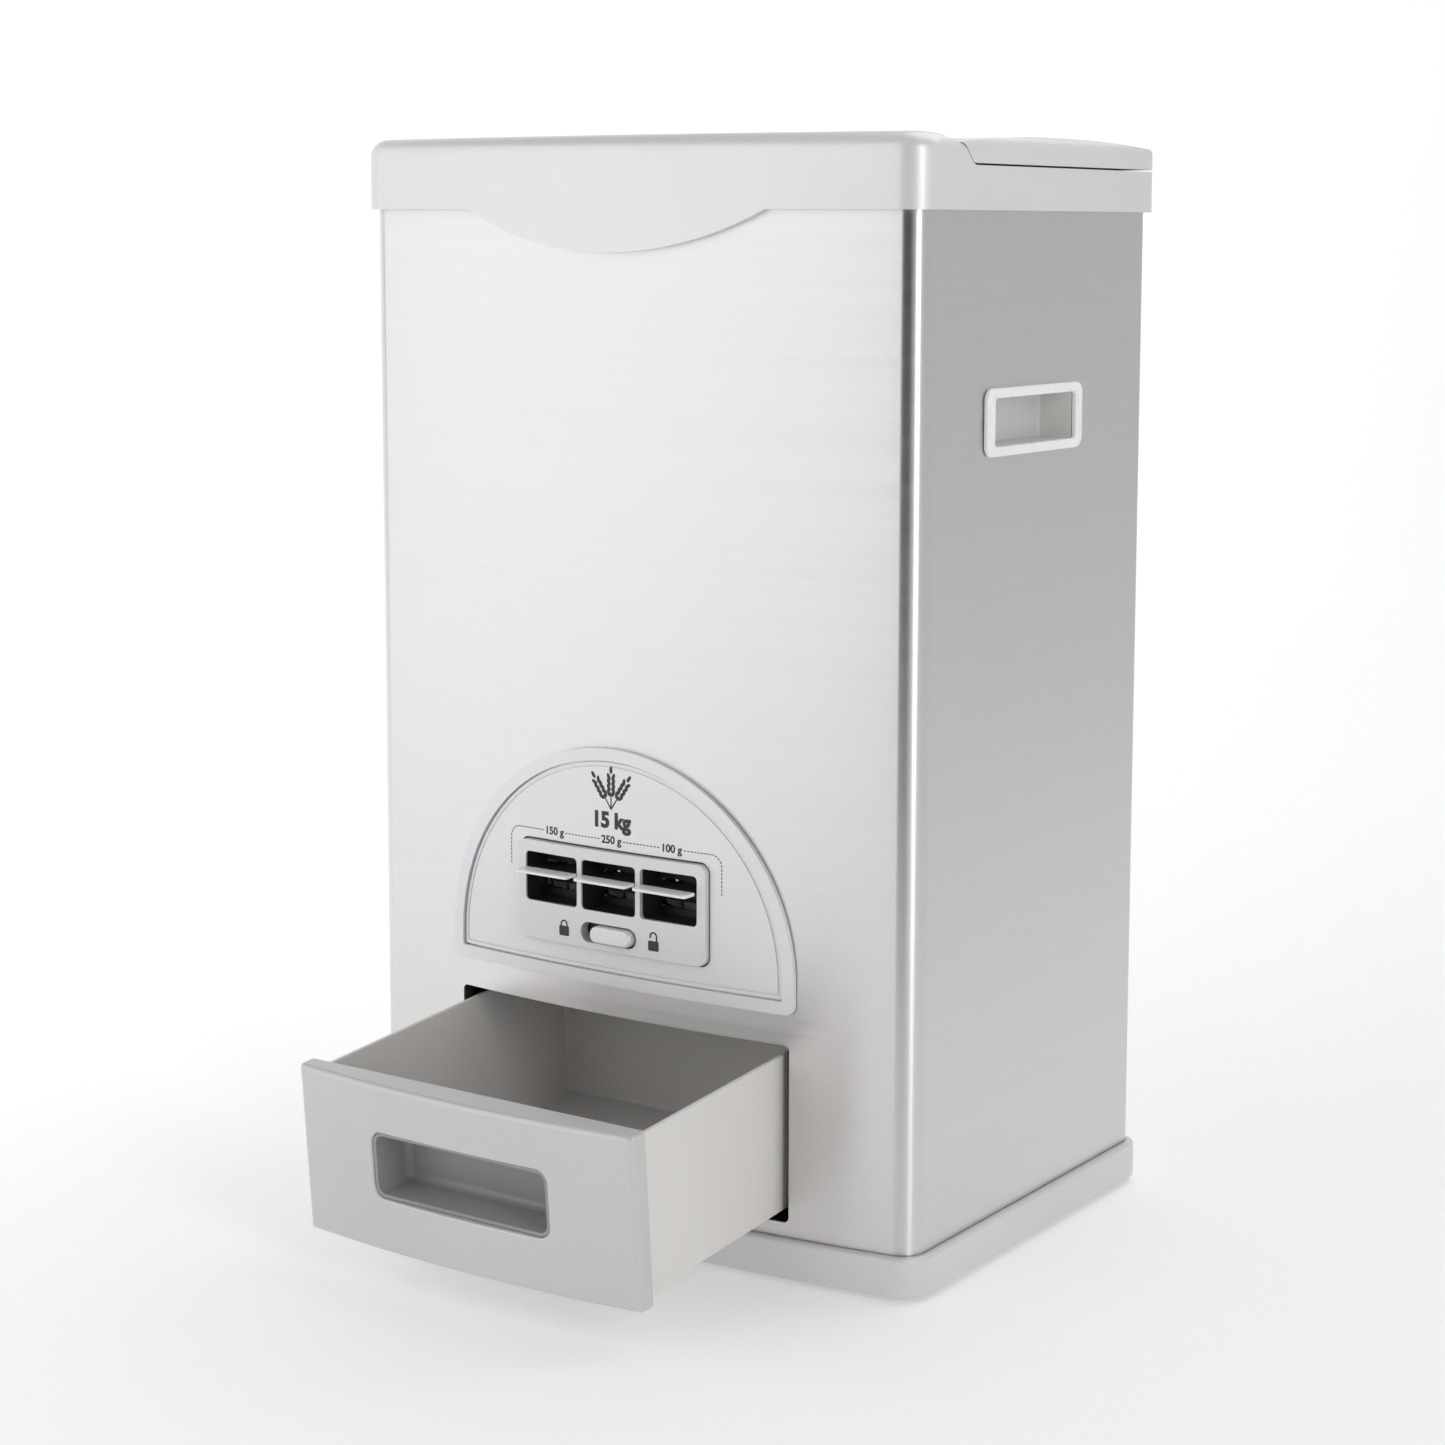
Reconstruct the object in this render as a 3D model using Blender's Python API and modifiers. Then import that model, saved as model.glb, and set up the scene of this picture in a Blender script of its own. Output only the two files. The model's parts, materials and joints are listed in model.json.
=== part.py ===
"""Grain dispenser: a steel cabinet with a filling lid, three dose levers and a drawer.

The cabinet stands on the floor at Z = 0 with its front towards -Y.  All sizes are in metres.
"""

import math

import bmesh
import bpy
from mathutils import Matrix, Vector

# ---------------------------------------------------------------- driving dimensions

# Cabinet
BODY_WIDTH = 0.360
BODY_DEPTH = 0.242           # from the rear face to the front corners
FRONT_BOW = 0.0165           # how far the middle of the front stands before its corners
CORNER_RADIUS = 0.014
REAR_CORNER_RADIUS = 0.008
SHEET = 0.0012               # steel sheet
GAP = 0.0003                 # between pieces that touch
FOOT_HEIGHT = 0.003
FOOT_RADIUS = 0.010
FOOT_INSET = 0.020           # foot centre from the plinth's sides
PLINTH_HEIGHT = 0.021
PLINTH_FLOOR = 0.003
PLINTH_WALL = 0.0065
TRIM_PROUD = 0.0046          # how far plinth and collar stand out from the steel
UPSTAND_HEIGHT = 0.0030

# Top
TOP_HEIGHT = 0.5960
COLLAR_HEIGHT = 0.0384       # from the top down to the collar's lower edge
SEAM_DROP = 0.0160           # from the top down to the parting line between collar and lid
DECK_THICKNESS = 0.007
APRON_WIDTH = 0.193          # curved apron below the collar's front
APRON_DROP = 0.0224
APRON_STEPS = 17
BAR_DEPTH = 0.028            # front bar's top, behind the front corners
BAR_CREASE = 0.001           # where the bar's top starts to fall, behind the front corners
BAR_FALL_LENGTH = 0.016      # length of the bar's curved rear slope
BAR_REAR_DROP = 0.005        # how far the bar's top falls to its rear edge
BAR_ROOF = 0.004             # above the hollow inside the bar
BAR_HOLLOW_FRONT = 0.007     # ahead of the front corners
BAR_HOLLOW_REAR = 0.003      # ahead of the bar's rear edge
BAR_HOLLOW_CORNER = 0.008
MOUTH_CLEARANCE = 0.001      # each side, outside the hopper's walls
MOUTH_SETBACK = 0.051        # behind the front corners
MOUTH_REAR_MARGIN = 0.017
MOUTH_CORNER = 0.012
SEAM_GAP = 0.0010
LID_ROOF = 0.0045
LID_WALL = 0.0085
LID_DOME = 0.005             # fall of the lid's top from its middle to its front edge
LID_EDGE = 0.006             # rounding of the lid's top edge
LID_HOLLOW_CORNER = 0.008
COLLAR_EDGE = 0.009

# Lid hinges
HINGE_SPACING = 0.200
HINGE_OFFSET = 0.0054        # pin axis behind the collar's rear face
KNUCKLE_RADIUS = 0.0045
KNUCKLE_LENGTH = 0.014
PIN_RADIUS = 0.0016
PIN_CLEARANCE = 0.0004
WEB_HEIGHT = 0.006
SEAL_WIDTH = 0.004
SEAL_HEIGHT = 0.005
SEAL_CORNER = 0.005

# Side handles
HANDLE_WIDTH = 0.1022
HANDLE_HEIGHT = 0.0355
HANDLE_BORDER = 0.0079
HANDLE_LIP = 0.0052
HANDLE_CENTRE_Y = -0.009
HANDLE_DROP = 0.1467         # from the top down to the handle's centre
HANDLE_PROUD = 0.0027
HANDLE_CORNER = 0.006
BEZEL_EDGE = 0.0010
POCKET_DEPTH = 0.0215
POCKET_WALL = 0.0014
POCKET_CORNER = 0.003
POCKET_MOUTH_CORNER = 0.002
POCKET_CLEARANCE = 0.0014    # between the pocket and the hole in the steel

# Hopper
HOPPER_SIDE_CLEARANCE = 0.0065    # between the hopper and the handle pockets
HOPPER_MARGIN = 0.008        # from the front corners' line and from the rear face
HOPPER_KNEE = 0.385
HOPPER_WALL = 0.002
HOPPER_NECK = 0.012          # straight stretch above the metering housing

# Half-moon fascia
FASCIA_WIDTH = 0.228
FASCIA_BOTTOM = 0.144
FASCIA_TOP = 0.2734
RIM_WIDTH = 0.0068
RIM_PROUD = 0.0030
PLATE_PROUD = 0.0013
FASCIA_CORNER = 0.005
CUTOUT_MARGIN = 0.013        # from the fascia's edge to the hole in the steel

# Lever module
MODULE_MARGIN = 0.0053       # beside the outer windows
MODULE_BOTTOM = 0.1634
MODULE_TOP = 0.2178
MODULE_PROUD = 0.0046
MODULE_DEPTH = 0.0067        # from the module's face to its flat rear
MODULE_CORNER = 0.005
DOSE_NAMES = ("150", "250", "100")
DUCT_DEPTHS = (0.030, 0.044, 0.022)
LEVER_PITCH = 0.0392
WINDOW_WIDTH = 0.036
WINDOW_BOTTOM = 0.1845
WINDOW_TOP = 0.2115
RECESS_DEPTH = 0.0120
RECESS_BACK = 0.0016
WINDOW_CORNER = 0.002
SLOT_BOTTOM = 0.1880         # slot in the recess's back, for the lever arm
SLOT_TOP = 0.2055

# Lever train
SHAFT_SETBACK = 0.0085       # behind the recess's back
SHAFT_Z = 0.1940
SHAFT_RADIUS = 0.0025
SHAFT_CLEARANCE = 0.0005
HUB_WALL = 0.0016
LEVER_WIDTH = 0.0345
LEVER_THICKNESS = 0.0022
LEVER_EDGE = 0.0008
ARM_NECK = 0.004             # where the arm leaves the hub, ahead of the shaft's axis
ARM_BEND = 0.010             # where the arm turns level
TAB_PROUD = 0.0090           # tab's tip in front of the module's face
TAB_Z = 0.2020
SLOT_MARGIN = 0.0007         # each side of a lever's arm
GATE_RADIUS = 0.0566
GATE_THICKNESS = 0.0014
GATE_CLEARANCE = 0.0004      # between a gate and its duct
GATE_RING_WALL = 0.0031
GATE_ROOM = 0.004            # between the gate's cheeks, beyond its rings
GATE_START = 3.0             # degrees from straight down, towards the rear
GATE_END = 76.0
DUCT_WALL = 0.0016
DUCT_OUTER_WIDTH = 0.0300
DUCT_SETBACK = 0.0065        # duct's front face behind the shaft's axis
HOUSING_TOP = 0.2260
HOUSING_LIP = 0.003          # plate behind the deepest duct
HOUSING_PLATE = 0.0040
SPRING_WIRE = 0.00055        # radius
SPRING_TURNS = 2
SPRING_CLEARANCE = 0.0010
SPRING_OFFSET = 0.00235      # spring's middle beyond its lever's side
EAR_REACH = 0.0115           # shaft ear's outer face beyond the outer duct
EAR_THICKNESS = 0.003
EAR_HALF_DEPTH = 0.006
EAR_DROP = 0.007             # below the shaft's axis
SHAFT_END = 0.004            # shaft's end beyond the ears
CLIP_RADIUS = 0.0048
CLIP_THICKNESS = 0.0014

# Lock slide
LOCK_SLOT_WIDTH = 0.037
LOCK_SLOT_HEIGHT = 0.011
LOCK_Z = 0.1723
KNOB_WIDTH = 0.027
KNOB_HEIGHT = 0.0092
KNOB_PROUD = 0.0036
LOCK_TRAVEL = 0.007
LOCK_BAR_WIDTH = 0.062
LOCK_BAR_HEIGHT = 0.0165
LOCK_BAR_THICKNESS = 0.0022
LOCK_BAR_CORNER = 0.002
KNOB_EDGE = 0.0012

# Drawer, in its own frame: it lies on runners that fall towards the front
RUNNER_FALL = 4.6            # degrees
OPENING_LEAD = 0.002         # drawer frame's origin ahead of the front corners
DRAWER_ORIGIN_Z = 0.0372
DRAWER_WIDTH = 0.2084
DRAWER_HEIGHT = 0.0836
DRAWER_LENGTH = 0.205
DRAWER_EXTENSION = 0.125     # box front ahead of the opening, at rest
DRAWER_WALL = 0.0023
DRAWER_CORNER = 0.004
STEP_LENGTH = 0.0145         # step under the box, behind its front
STEP_DROP = 0.0034
COVER_WIDTH = 0.218
COVER_DROP = 0.0040          # below the box's floor
COVER_RISE = 0.0039          # above the box's rim
COVER_END_THICKNESS = 0.0110
COVER_EDGE = 0.003           # rounding of the front's top and bottom edges
OPENING_SIDE_CLEARANCE = 0.0009
OPENING_TOP_CLEARANCE = 0.00258
OPENING_BOTTOM = 0.0318
OPENING_CORNER = 0.003
GRIP_WIDTH = 0.115
GRIP_HEIGHT = 0.036
GRIP_CENTRE = 0.0435         # above the box's floor
GRIP_CORNER = 0.007
GRIP_DEPTH = 0.026
GRIP_WALL = 0.0018
TRIM_WALL = 0.0040
TRIM_DEPTH = 0.0080
RUNNER_LEDGE = 0.0100
RUNNER_WEB = 0.0030
RUNNER_RISE = 0.0140
RUNNER_LENGTH = 0.200
RUNNER_START = 0.0235        # behind the opening
RUNNER_LEDGE_THICKNESS = 0.0030

# Fasteners
SCREW_HEAD_RADIUS = 0.0040
SCREW_HEAD_HEIGHT = 0.0022
SCREW_SHANK_RADIUS = 0.0015
SCREW_LENGTH = 0.0060
SCREW_HOLE_CLEARANCE = 0.0005
PANEL_MARGIN = 0.012         # rear panel from the cabinet's sides
REAR_WINDOW_MARGIN = 0.030
REAR_WINDOW_CORNER = 0.006
PANEL_BOTTOM = 0.0450
PANEL_DROP = 0.0510          # from the top down to the panel's upper edge
PANEL_CORNER = 0.004
PANEL_SCREW_INSET = 0.0100

# Facets
FRONT_SEGMENTS = 14
CORNER_SEGMENTS = 5
ARCH_SEGMENTS = 32
ROUND_SIDES = 16
SMALL_SIDES = 12
HOLE_SIDES = 8
CURVE_STEPS = 6              # along the bar's slope
GATE_STEPS = 24
DOME_STEPS = 4               # from the lid's middle to its edge
OVERCUT = 0.01               # how far a cutter passes the face it opens
OVERLAP = 0.001              # how far joined solids reach into each other
OBROUND_FLAT = 0.0001        # straight stretch left at an obround's ends
NEAR = 0.00001

# ---------------------------------------------------------------- worked-out places

FRONT_RADIUS = (BODY_WIDTH ** 2 / 4 + FRONT_BOW ** 2) / (2 * FRONT_BOW)
FRONT_ARC_Y = -BODY_DEPTH / 2 - FRONT_BOW + FRONT_RADIUS
PLINTH_TOP = FOOT_HEIGHT + PLINTH_HEIGHT
OPENING_WIDTH = COVER_WIDTH + 2 * OPENING_SIDE_CLEARANCE
REAR_Y = BODY_DEPTH / 2
CORNER_Y = -BODY_DEPTH / 2
COLLAR_BOTTOM = TOP_HEIGHT - COLLAR_HEIGHT
SEAM_HEIGHT = TOP_HEIGHT - SEAM_DROP
PANEL_TOP = TOP_HEIGHT - PANEL_DROP
HANDLE_CENTRE_Z = TOP_HEIGHT - HANDLE_DROP
BAR_REAR = CORNER_Y + BAR_DEPTH
MOUTH_FRONT = CORNER_Y + MOUTH_SETBACK
MOUTH_REAR = REAR_Y - MOUTH_REAR_MARGIN
HOPPER_HALF_WIDTH = BODY_WIDTH / 2 - POCKET_DEPTH - HOPPER_SIDE_CLEARANCE
HOPPER_FRONT = CORNER_Y + HOPPER_MARGIN
HOPPER_REAR = REAR_Y - HOPPER_MARGIN
MOUTH_WIDTH = 2 * (HOPPER_HALF_WIDTH + MOUTH_CLEARANCE)
MODULE_WIDTH = 2 * (LEVER_PITCH + WINDOW_WIDTH / 2 + MODULE_MARGIN)
MODULE_REAR = CORNER_Y - FRONT_BOW - MODULE_PROUD + MODULE_DEPTH
RECESS_REAR = MODULE_REAR + GAP + RECESS_DEPTH + RECESS_BACK
SHAFT_Y = RECESS_REAR + SHAFT_SETBACK
DUCT_FRONT = SHAFT_Y + DUCT_SETBACK
DRAWER_ORIGIN_Y = CORNER_Y - OPENING_LEAD
LEVER_X = tuple((index - 1) * LEVER_PITCH for index in range(3))
HUB_RADIUS = SHAFT_RADIUS + SHAFT_CLEARANCE + HUB_WALL
FALL = math.radians(RUNNER_FALL)
COVER_TOP = DRAWER_ORIGIN_Z + (DRAWER_HEIGHT + COVER_RISE) * math.cos(FALL)
OPENING_TOP = COVER_TOP + OPENING_TOP_CLEARANCE
COVER_FRONT = -(DRAWER_EXTENSION + GAP + COVER_END_THICKNESS)
HINGE_Y = REAR_Y + TRIM_PROUD + HINGE_OFFSET
HINGE_Z = SEAM_HEIGHT + SEAM_GAP / 2
REAR_MOST = HINGE_Y + KNUCKLE_RADIUS

MODEL_NAME = "grain_dispenser"
parts = bpy.data.collections.new(MODEL_NAME)
cutters = bpy.data.collections.new("cutters")


def front_y(x, outset=0.0):
    """Y of the bowed front at x, moved out by outset."""
    radius = FRONT_RADIUS + outset
    return FRONT_ARC_Y - math.sqrt(radius ** 2 - x ** 2)


# ---------------------------------------------------------------- outlines

def arc(centre, radius, start, end, segments):
    """Points of an arc, both ends included; angles in degrees."""
    points = []
    for index in range(segments + 1):
        angle = math.radians(start + (end - start) * index / segments)
        points.append((centre[0] + radius * math.cos(angle), centre[1] + radius * math.sin(angle)))
    return points


def plan(outset):
    """Cabinet's outline from above, moved out by outset, counter-clockwise."""
    half = BODY_WIDTH / 2 + outset
    front = max(CORNER_RADIUS + outset, 0.002)
    rear = max(REAR_CORNER_RADIUS + outset, 0.002)
    centre_x = half - front
    reach = FRONT_RADIUS + outset - front
    centre_y = FRONT_ARC_Y - math.sqrt(reach ** 2 - centre_x ** 2)
    lean = math.degrees(math.asin(centre_x / reach))
    back = REAR_Y + outset - rear
    points = arc((-centre_x, centre_y), front, 180, 270 - lean, CORNER_SEGMENTS)
    points += arc((0, FRONT_ARC_Y), FRONT_RADIUS + outset, 270 - lean, 270 + lean, FRONT_SEGMENTS)[1:-1]
    points += arc((centre_x, centre_y), front, 270 + lean, 360, CORNER_SEGMENTS)
    points += arc((half - rear, back), rear, 0, 90, CORNER_SEGMENTS)
    points += arc((rear - half, back), rear, 90, 180, CORNER_SEGMENTS)
    return points


def front_strip(inner, outer, half, segments=FRONT_SEGMENTS):
    """Outline from above of a strip along the bowed front, between two outsets."""
    outer_lean = math.degrees(math.asin(half / (FRONT_RADIUS + outer)))
    inner_lean = math.degrees(math.asin(half / (FRONT_RADIUS + inner)))
    points = arc((0, FRONT_ARC_Y), FRONT_RADIUS + outer, 270 - outer_lean, 270 + outer_lean, segments)
    return points + arc((0, FRONT_ARC_Y), FRONT_RADIUS + inner, 270 + inner_lean, 270 - inner_lean, segments)


def rounded_box(left, bottom, right, top, radius, segments=3):
    """Rectangle with round corners."""
    if radius <= 0:
        return [(left, bottom), (right, bottom), (right, top), (left, top)]
    points = arc((right - radius, bottom + radius), radius, 270, 360, segments)
    points += arc((right - radius, top - radius), radius, 0, 90, segments)
    points += arc((left + radius, top - radius), radius, 90, 180, segments)
    return points + arc((left + radius, bottom + radius), radius, 180, 270, segments)


def centred(x, z, width, height, radius, segments=3):
    """Rounded rectangle about a centre."""
    return rounded_box(x - width / 2, z - height / 2, x + width / 2, z + height / 2, radius, segments)


def arch(inset):
    """Half-moon outline of the fascia in X and Z, moved in by inset."""
    half = FASCIA_WIDTH / 2 - inset
    bottom = FASCIA_BOTTOM + inset
    spring = FASCIA_TOP - FASCIA_WIDTH / 2
    corner = max(FASCIA_CORNER - inset / 2, 0.001)
    points = arc((corner - half, bottom + corner), corner, 180, 270, 3)
    points += arc((half - corner, bottom + corner), corner, 270, 360, 3)
    return points + arc((0, spring), half, 0, 180, ARCH_SEGMENTS)


def bar_slope(shift=0.0):
    """Curved rear slope of the collar's front bar, as points in Y and Z from its top down."""
    top = TOP_HEIGHT - BAR_REAR_DROP
    points = []
    for index in range(CURVE_STEPS + 1):
        share = index / CURVE_STEPS
        height = SEAM_HEIGHT + (top - SEAM_HEIGHT) * (1 + math.cos(math.pi * share)) / 2
        points.append((BAR_REAR + BAR_FALL_LENGTH * share + shift, height))
    return points


# ---------------------------------------------------------------- solids

AXES = {
    "X": Matrix(((0, 0, 1, 0), (1, 0, 0, 0), (0, 1, 0, 0), (0, 0, 0, 1))),
    "Y": Matrix(((1, 0, 0, 0), (0, 0, -1, 0), (0, 1, 0, 0), (0, 0, 0, 1))),
    "Z": Matrix.Identity(4),
}


def add_object(name, mesh, collection=None):
    """New object of a mesh, in the parts unless told otherwise."""
    solid = bpy.data.objects.new(name, mesh)
    (collection or parts).objects.link(solid)
    return solid


def tidy_mesh(mesh, merge=NEAR):
    """Weld a mesh's doubles, join its flat faces and face it outwards."""
    work = bmesh.new()
    work.from_mesh(mesh)
    bmesh.ops.remove_doubles(work, verts=work.verts, dist=merge)
    bmesh.ops.dissolve_limit(work, angle_limit=math.radians(0.5), verts=work.verts, edges=work.edges)
    bmesh.ops.recalc_face_normals(work, faces=work.faces)
    work.to_mesh(mesh)
    work.free()


def prism(name, outline, low, high, axis="Z", collection=None):
    """Solid of one flat outline, from low to high along an axis."""
    sketch = bpy.data.curves.new(name, "CURVE")
    sketch.dimensions = "2D"
    sketch.fill_mode = "BOTH"
    sketch.extrude = (high - low) / 2
    spline = sketch.splines.new("POLY")
    spline.points.add(len(outline) - 1)
    for point, (u, v) in zip(spline.points, outline):
        point.co = (u, v, 0, 1)
    spline.use_cyclic_u = True
    drawn = bpy.data.objects.new(name, sketch)
    bpy.context.scene.collection.objects.link(drawn)
    view = bpy.context.evaluated_depsgraph_get()
    mesh = bpy.data.meshes.new_from_object(drawn.evaluated_get(view))
    bpy.data.objects.remove(drawn)
    bpy.data.curves.remove(sketch)
    middle = (low + high) / 2
    shift = -middle if axis == "Y" else middle
    mesh.transform(AXES[axis] @ Matrix.Translation((0, 0, shift)))
    tidy_mesh(mesh)
    return add_object(name, mesh, collection)


def block(name, low, high, collection=None):
    """Box between two corners."""
    mesh = bpy.data.meshes.new(name)
    work = bmesh.new()
    size = Vector(high) - Vector(low)
    place = Matrix.Translation((Vector(high) + Vector(low)) / 2) @ Matrix.Diagonal((*size, 1))
    bmesh.ops.create_cube(work, size=1, matrix=place)
    work.to_mesh(mesh)
    work.free()
    return add_object(name, mesh, collection)


def rod(name, centre, radius, length, axis="X", sides=ROUND_SIDES, collection=None):
    """Cylinder about a centre, along an axis."""
    mesh = bpy.data.meshes.new(name)
    work = bmesh.new()
    place = Matrix.Translation(centre) @ AXES[axis]
    bmesh.ops.create_cone(
        work, cap_ends=True, segments=sides, radius1=radius, radius2=radius, depth=length, matrix=place
    )
    work.to_mesh(mesh)
    work.free()
    return add_object(name, mesh, collection)


def combine(target, tool, operation):
    """Boolean of target with tool; the tool stays behind as a cutter."""
    for collection in tuple(tool.users_collection):
        collection.objects.unlink(tool)
    cutters.objects.link(tool)
    tool.hide_render = True
    tool.display_type = "WIRE"
    change = target.modifiers.new(tool.name, "BOOLEAN")
    change.operation = operation
    change.solver = "EXACT"
    change.object = tool
    return target


def cut(target, *tools):
    """Take tools away from target."""
    for tool in tools:
        combine(target, tool, "DIFFERENCE")
    return target


def join(target, *tools):
    """Add tools to target."""
    for tool in tools:
        combine(target, tool, "UNION")
    return target


def keep(target, tool):
    """Keep only what target and tool share."""
    return combine(target, tool, "INTERSECT")


def soften(solid, chosen, width, segments=3):
    """Round the edges of a plain mesh whose two ends both pass a test."""
    work = bmesh.new()
    work.from_mesh(solid.data)
    edges = [edge for edge in work.edges if all(chosen(vert.co) for vert in edge.verts)]
    bmesh.ops.bevel(
        work, geom=edges, offset=width, segments=segments, profile=0.5, affect="EDGES", clamp_overlap=True
    )
    work.to_mesh(solid.data)
    work.free()
    return solid


def at_height(level):
    """Test for points at one height."""
    return lambda point: abs(point.z - level) < NEAR


def finish(solid, material, smooth_angle=30):
    """Give a solid its material and smooth its round faces."""
    solid.data.materials.clear()
    solid.data.materials.append(material)
    solid.data.shade_smooth()
    solid.data.set_sharp_from_angle(angle=math.radians(smooth_angle))
    return solid


def paint(name, colour, roughness, metallic=0.0):
    """Material with a colour, roughness and metallic value."""
    material = bpy.data.materials.new(name)
    material.use_nodes = True
    shader = material.node_tree.nodes["Principled BSDF"]
    shader.inputs["Base Color"].default_value = (*colour, 1)
    shader.inputs["Roughness"].default_value = roughness
    shader.inputs["Metallic"].default_value = metallic
    return material


# ---------------------------------------------------------------- base

def make_base(plastic, rubber):
    """Plinth tray with an upstand inside the steel, on four round feet."""
    low = FOOT_HEIGHT
    tray = prism("base_tray", plan(TRIM_PROUD), low, PLINTH_TOP)
    soften(tray, at_height(PLINTH_TOP), 0.0015, 2)
    upstand = prism(
        "base_upstand", plan(-SHEET - GAP), low + PLINTH_FLOOR, PLINTH_TOP + UPSTAND_HEIGHT
    )
    hollow = prism("base_hollow", plan(-PLINTH_WALL), low + PLINTH_FLOOR, PLINTH_TOP + 2 * UPSTAND_HEIGHT)
    join(tray, upstand)
    cut(tray, hollow)
    finish(tray, plastic)
    side = BODY_WIDTH / 2 + TRIM_PROUD - FOOT_INSET
    front = -BODY_DEPTH / 2 + FOOT_INSET - TRIM_PROUD
    back = REAR_Y + TRIM_PROUD - FOOT_INSET
    for row, y in (("front", front), ("rear", back)):
        for hand, sign in (("left", -1), ("right", 1)):
            height = FOOT_HEIGHT - GAP
            foot = rod(f"foot_{row}_{hand}", (sign * side, y, height / 2), FOOT_RADIUS, height, "Z")
            soften(foot, at_height(0.0), 0.0008, 1)
            finish(foot, rubber)


# ---------------------------------------------------------------- steel body

def handle_outline(border_y, border_z, corner):
    """Handle outline in Y and Z, moved in by a border on its sides and on its top and bottom."""
    width = HANDLE_WIDTH - 2 * border_y
    height = HANDLE_HEIGHT - 2 * border_z
    return centred(HANDLE_CENTRE_Y, HANDLE_CENTRE_Z, width, height, corner)


def panel_screw_places():
    """Centres of the rear panel's screws, in X and Z."""
    side = BODY_WIDTH / 2 - PANEL_MARGIN - PANEL_SCREW_INSET
    low = PANEL_BOTTOM + PANEL_SCREW_INSET
    high = PANEL_TOP - PANEL_SCREW_INSET
    return [(x, z) for z in (low, high) for x in (-side, side)]


def make_body(steel, zinc, bolt):
    """Wrapped steel sheet with its openings, and the rear panel screwed over its rear window."""
    top = SEAM_HEIGHT - DECK_THICKNESS - GAP
    shell = prism("body_shell", plan(0.0), PLINTH_TOP + GAP, top)
    cut(shell, prism("shell_inside", plan(-SHEET), 0.0, TOP_HEIGHT, collection=cutters))
    half = OPENING_WIDTH / 2
    outline = rounded_box(-half, OPENING_BOTTOM, half, OPENING_TOP, OPENING_CORNER)
    cut(shell, prism("drawer_opening", outline, -BODY_DEPTH, 0.0, "Y"))
    cut(shell, prism("fascia_cutout", arch(CUTOUT_MARGIN), -BODY_DEPTH, 0.0, "Y"))
    edge = POCKET_WALL + POCKET_CLEARANCE
    pocket = handle_outline(HANDLE_BORDER - edge, HANDLE_LIP - edge, POCKET_CORNER)
    cut(shell, prism("handle_cutouts", pocket, -BODY_WIDTH, BODY_WIDTH, "X"))
    side = BODY_WIDTH / 2 - REAR_WINDOW_MARGIN
    low, high = PANEL_BOTTOM + 2 * PANEL_SCREW_INSET, PANEL_TOP - 2 * PANEL_SCREW_INSET
    window = rounded_box(-side, low, side, high, REAR_WINDOW_CORNER)
    cut(shell, prism("rear_window", window, 0.0, BODY_DEPTH, "Y"))
    face = REAR_Y + GAP
    width = BODY_WIDTH - 2 * PANEL_MARGIN
    sheet = centred(0, (PANEL_BOTTOM + PANEL_TOP) / 2, width, PANEL_TOP - PANEL_BOTTOM, PANEL_CORNER, 2)
    panel = prism("rear_panel", sheet, face, face + SHEET, "Y")
    for index, (x, z) in enumerate(panel_screw_places(), 1):
        radius = SCREW_SHANK_RADIUS + SCREW_HOLE_CLEARANCE
        for target, tag in ((shell, "shell"), (panel, "panel")):
            name = f"{tag}_screw_hole_{index}"
            hole = rod(name, (x, REAR_Y, z), radius, 2 * OVERCUT, "Y", HOLE_SIDES)
            cut(target, hole)
        screw = make_screw(f"rear_screw_{index}", Vector((x, face + SHEET + GAP, z)), (0, 1, 0))
        finish(screw, bolt)
    finish(shell, steel)
    finish(panel, zinc)


def make_screw(name, seat, out):
    """Round-head screw whose head sits on seat and points along out."""
    head = SCREW_HEAD_RADIUS
    profile = (
        (0.0, SCREW_HEAD_HEIGHT),
        (head * 0.75, SCREW_HEAD_HEIGHT * 0.75),
        (head, 0.0),
        (SCREW_SHANK_RADIUS, 0.0),
        (SCREW_SHANK_RADIUS, -SCREW_LENGTH),
        (0.0, -SCREW_LENGTH),
    )
    mesh = bpy.data.meshes.new(name)
    mesh.from_pydata([(r, 0, z) for r, z in profile], [(i, i + 1) for i in range(len(profile) - 1)], [])
    screw = add_object(name, mesh)
    turned = screw.modifiers.new("turn", "SCREW")
    turned.steps = turned.render_steps = 10
    turned.use_merge_vertices = True
    turned.merge_threshold = 0.00001
    screw.rotation_mode = "QUATERNION"
    screw.rotation_quaternion = Vector(out).to_track_quat("Z", "Y")
    screw.location = seat
    return screw


# ---------------------------------------------------------------- collar and lid

def knuckle(name, x, length, low, high, reach):
    """Hinge knuckle with a web that runs from the knuckle back to y = reach."""
    tube = rod(name, (x, HINGE_Y, HINGE_Z), KNUCKLE_RADIUS, length, "X", SMALL_SIDES)
    near = HINGE_Y - PIN_RADIUS
    web = block(name + "_web", (x - length / 2, reach, low), (x + length / 2, near, high))
    return join(tube, web)


def hinge_knuckles():
    """Centres, in X, of each hinge's lid knuckle and of its two collar knuckles."""
    step = KNUCKLE_LENGTH + GAP
    for sign in (-1, 1):
        x = sign * HINGE_SPACING / 2
        yield ("left" if sign < 0 else "right"), x, (x - step, x + step)


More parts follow.
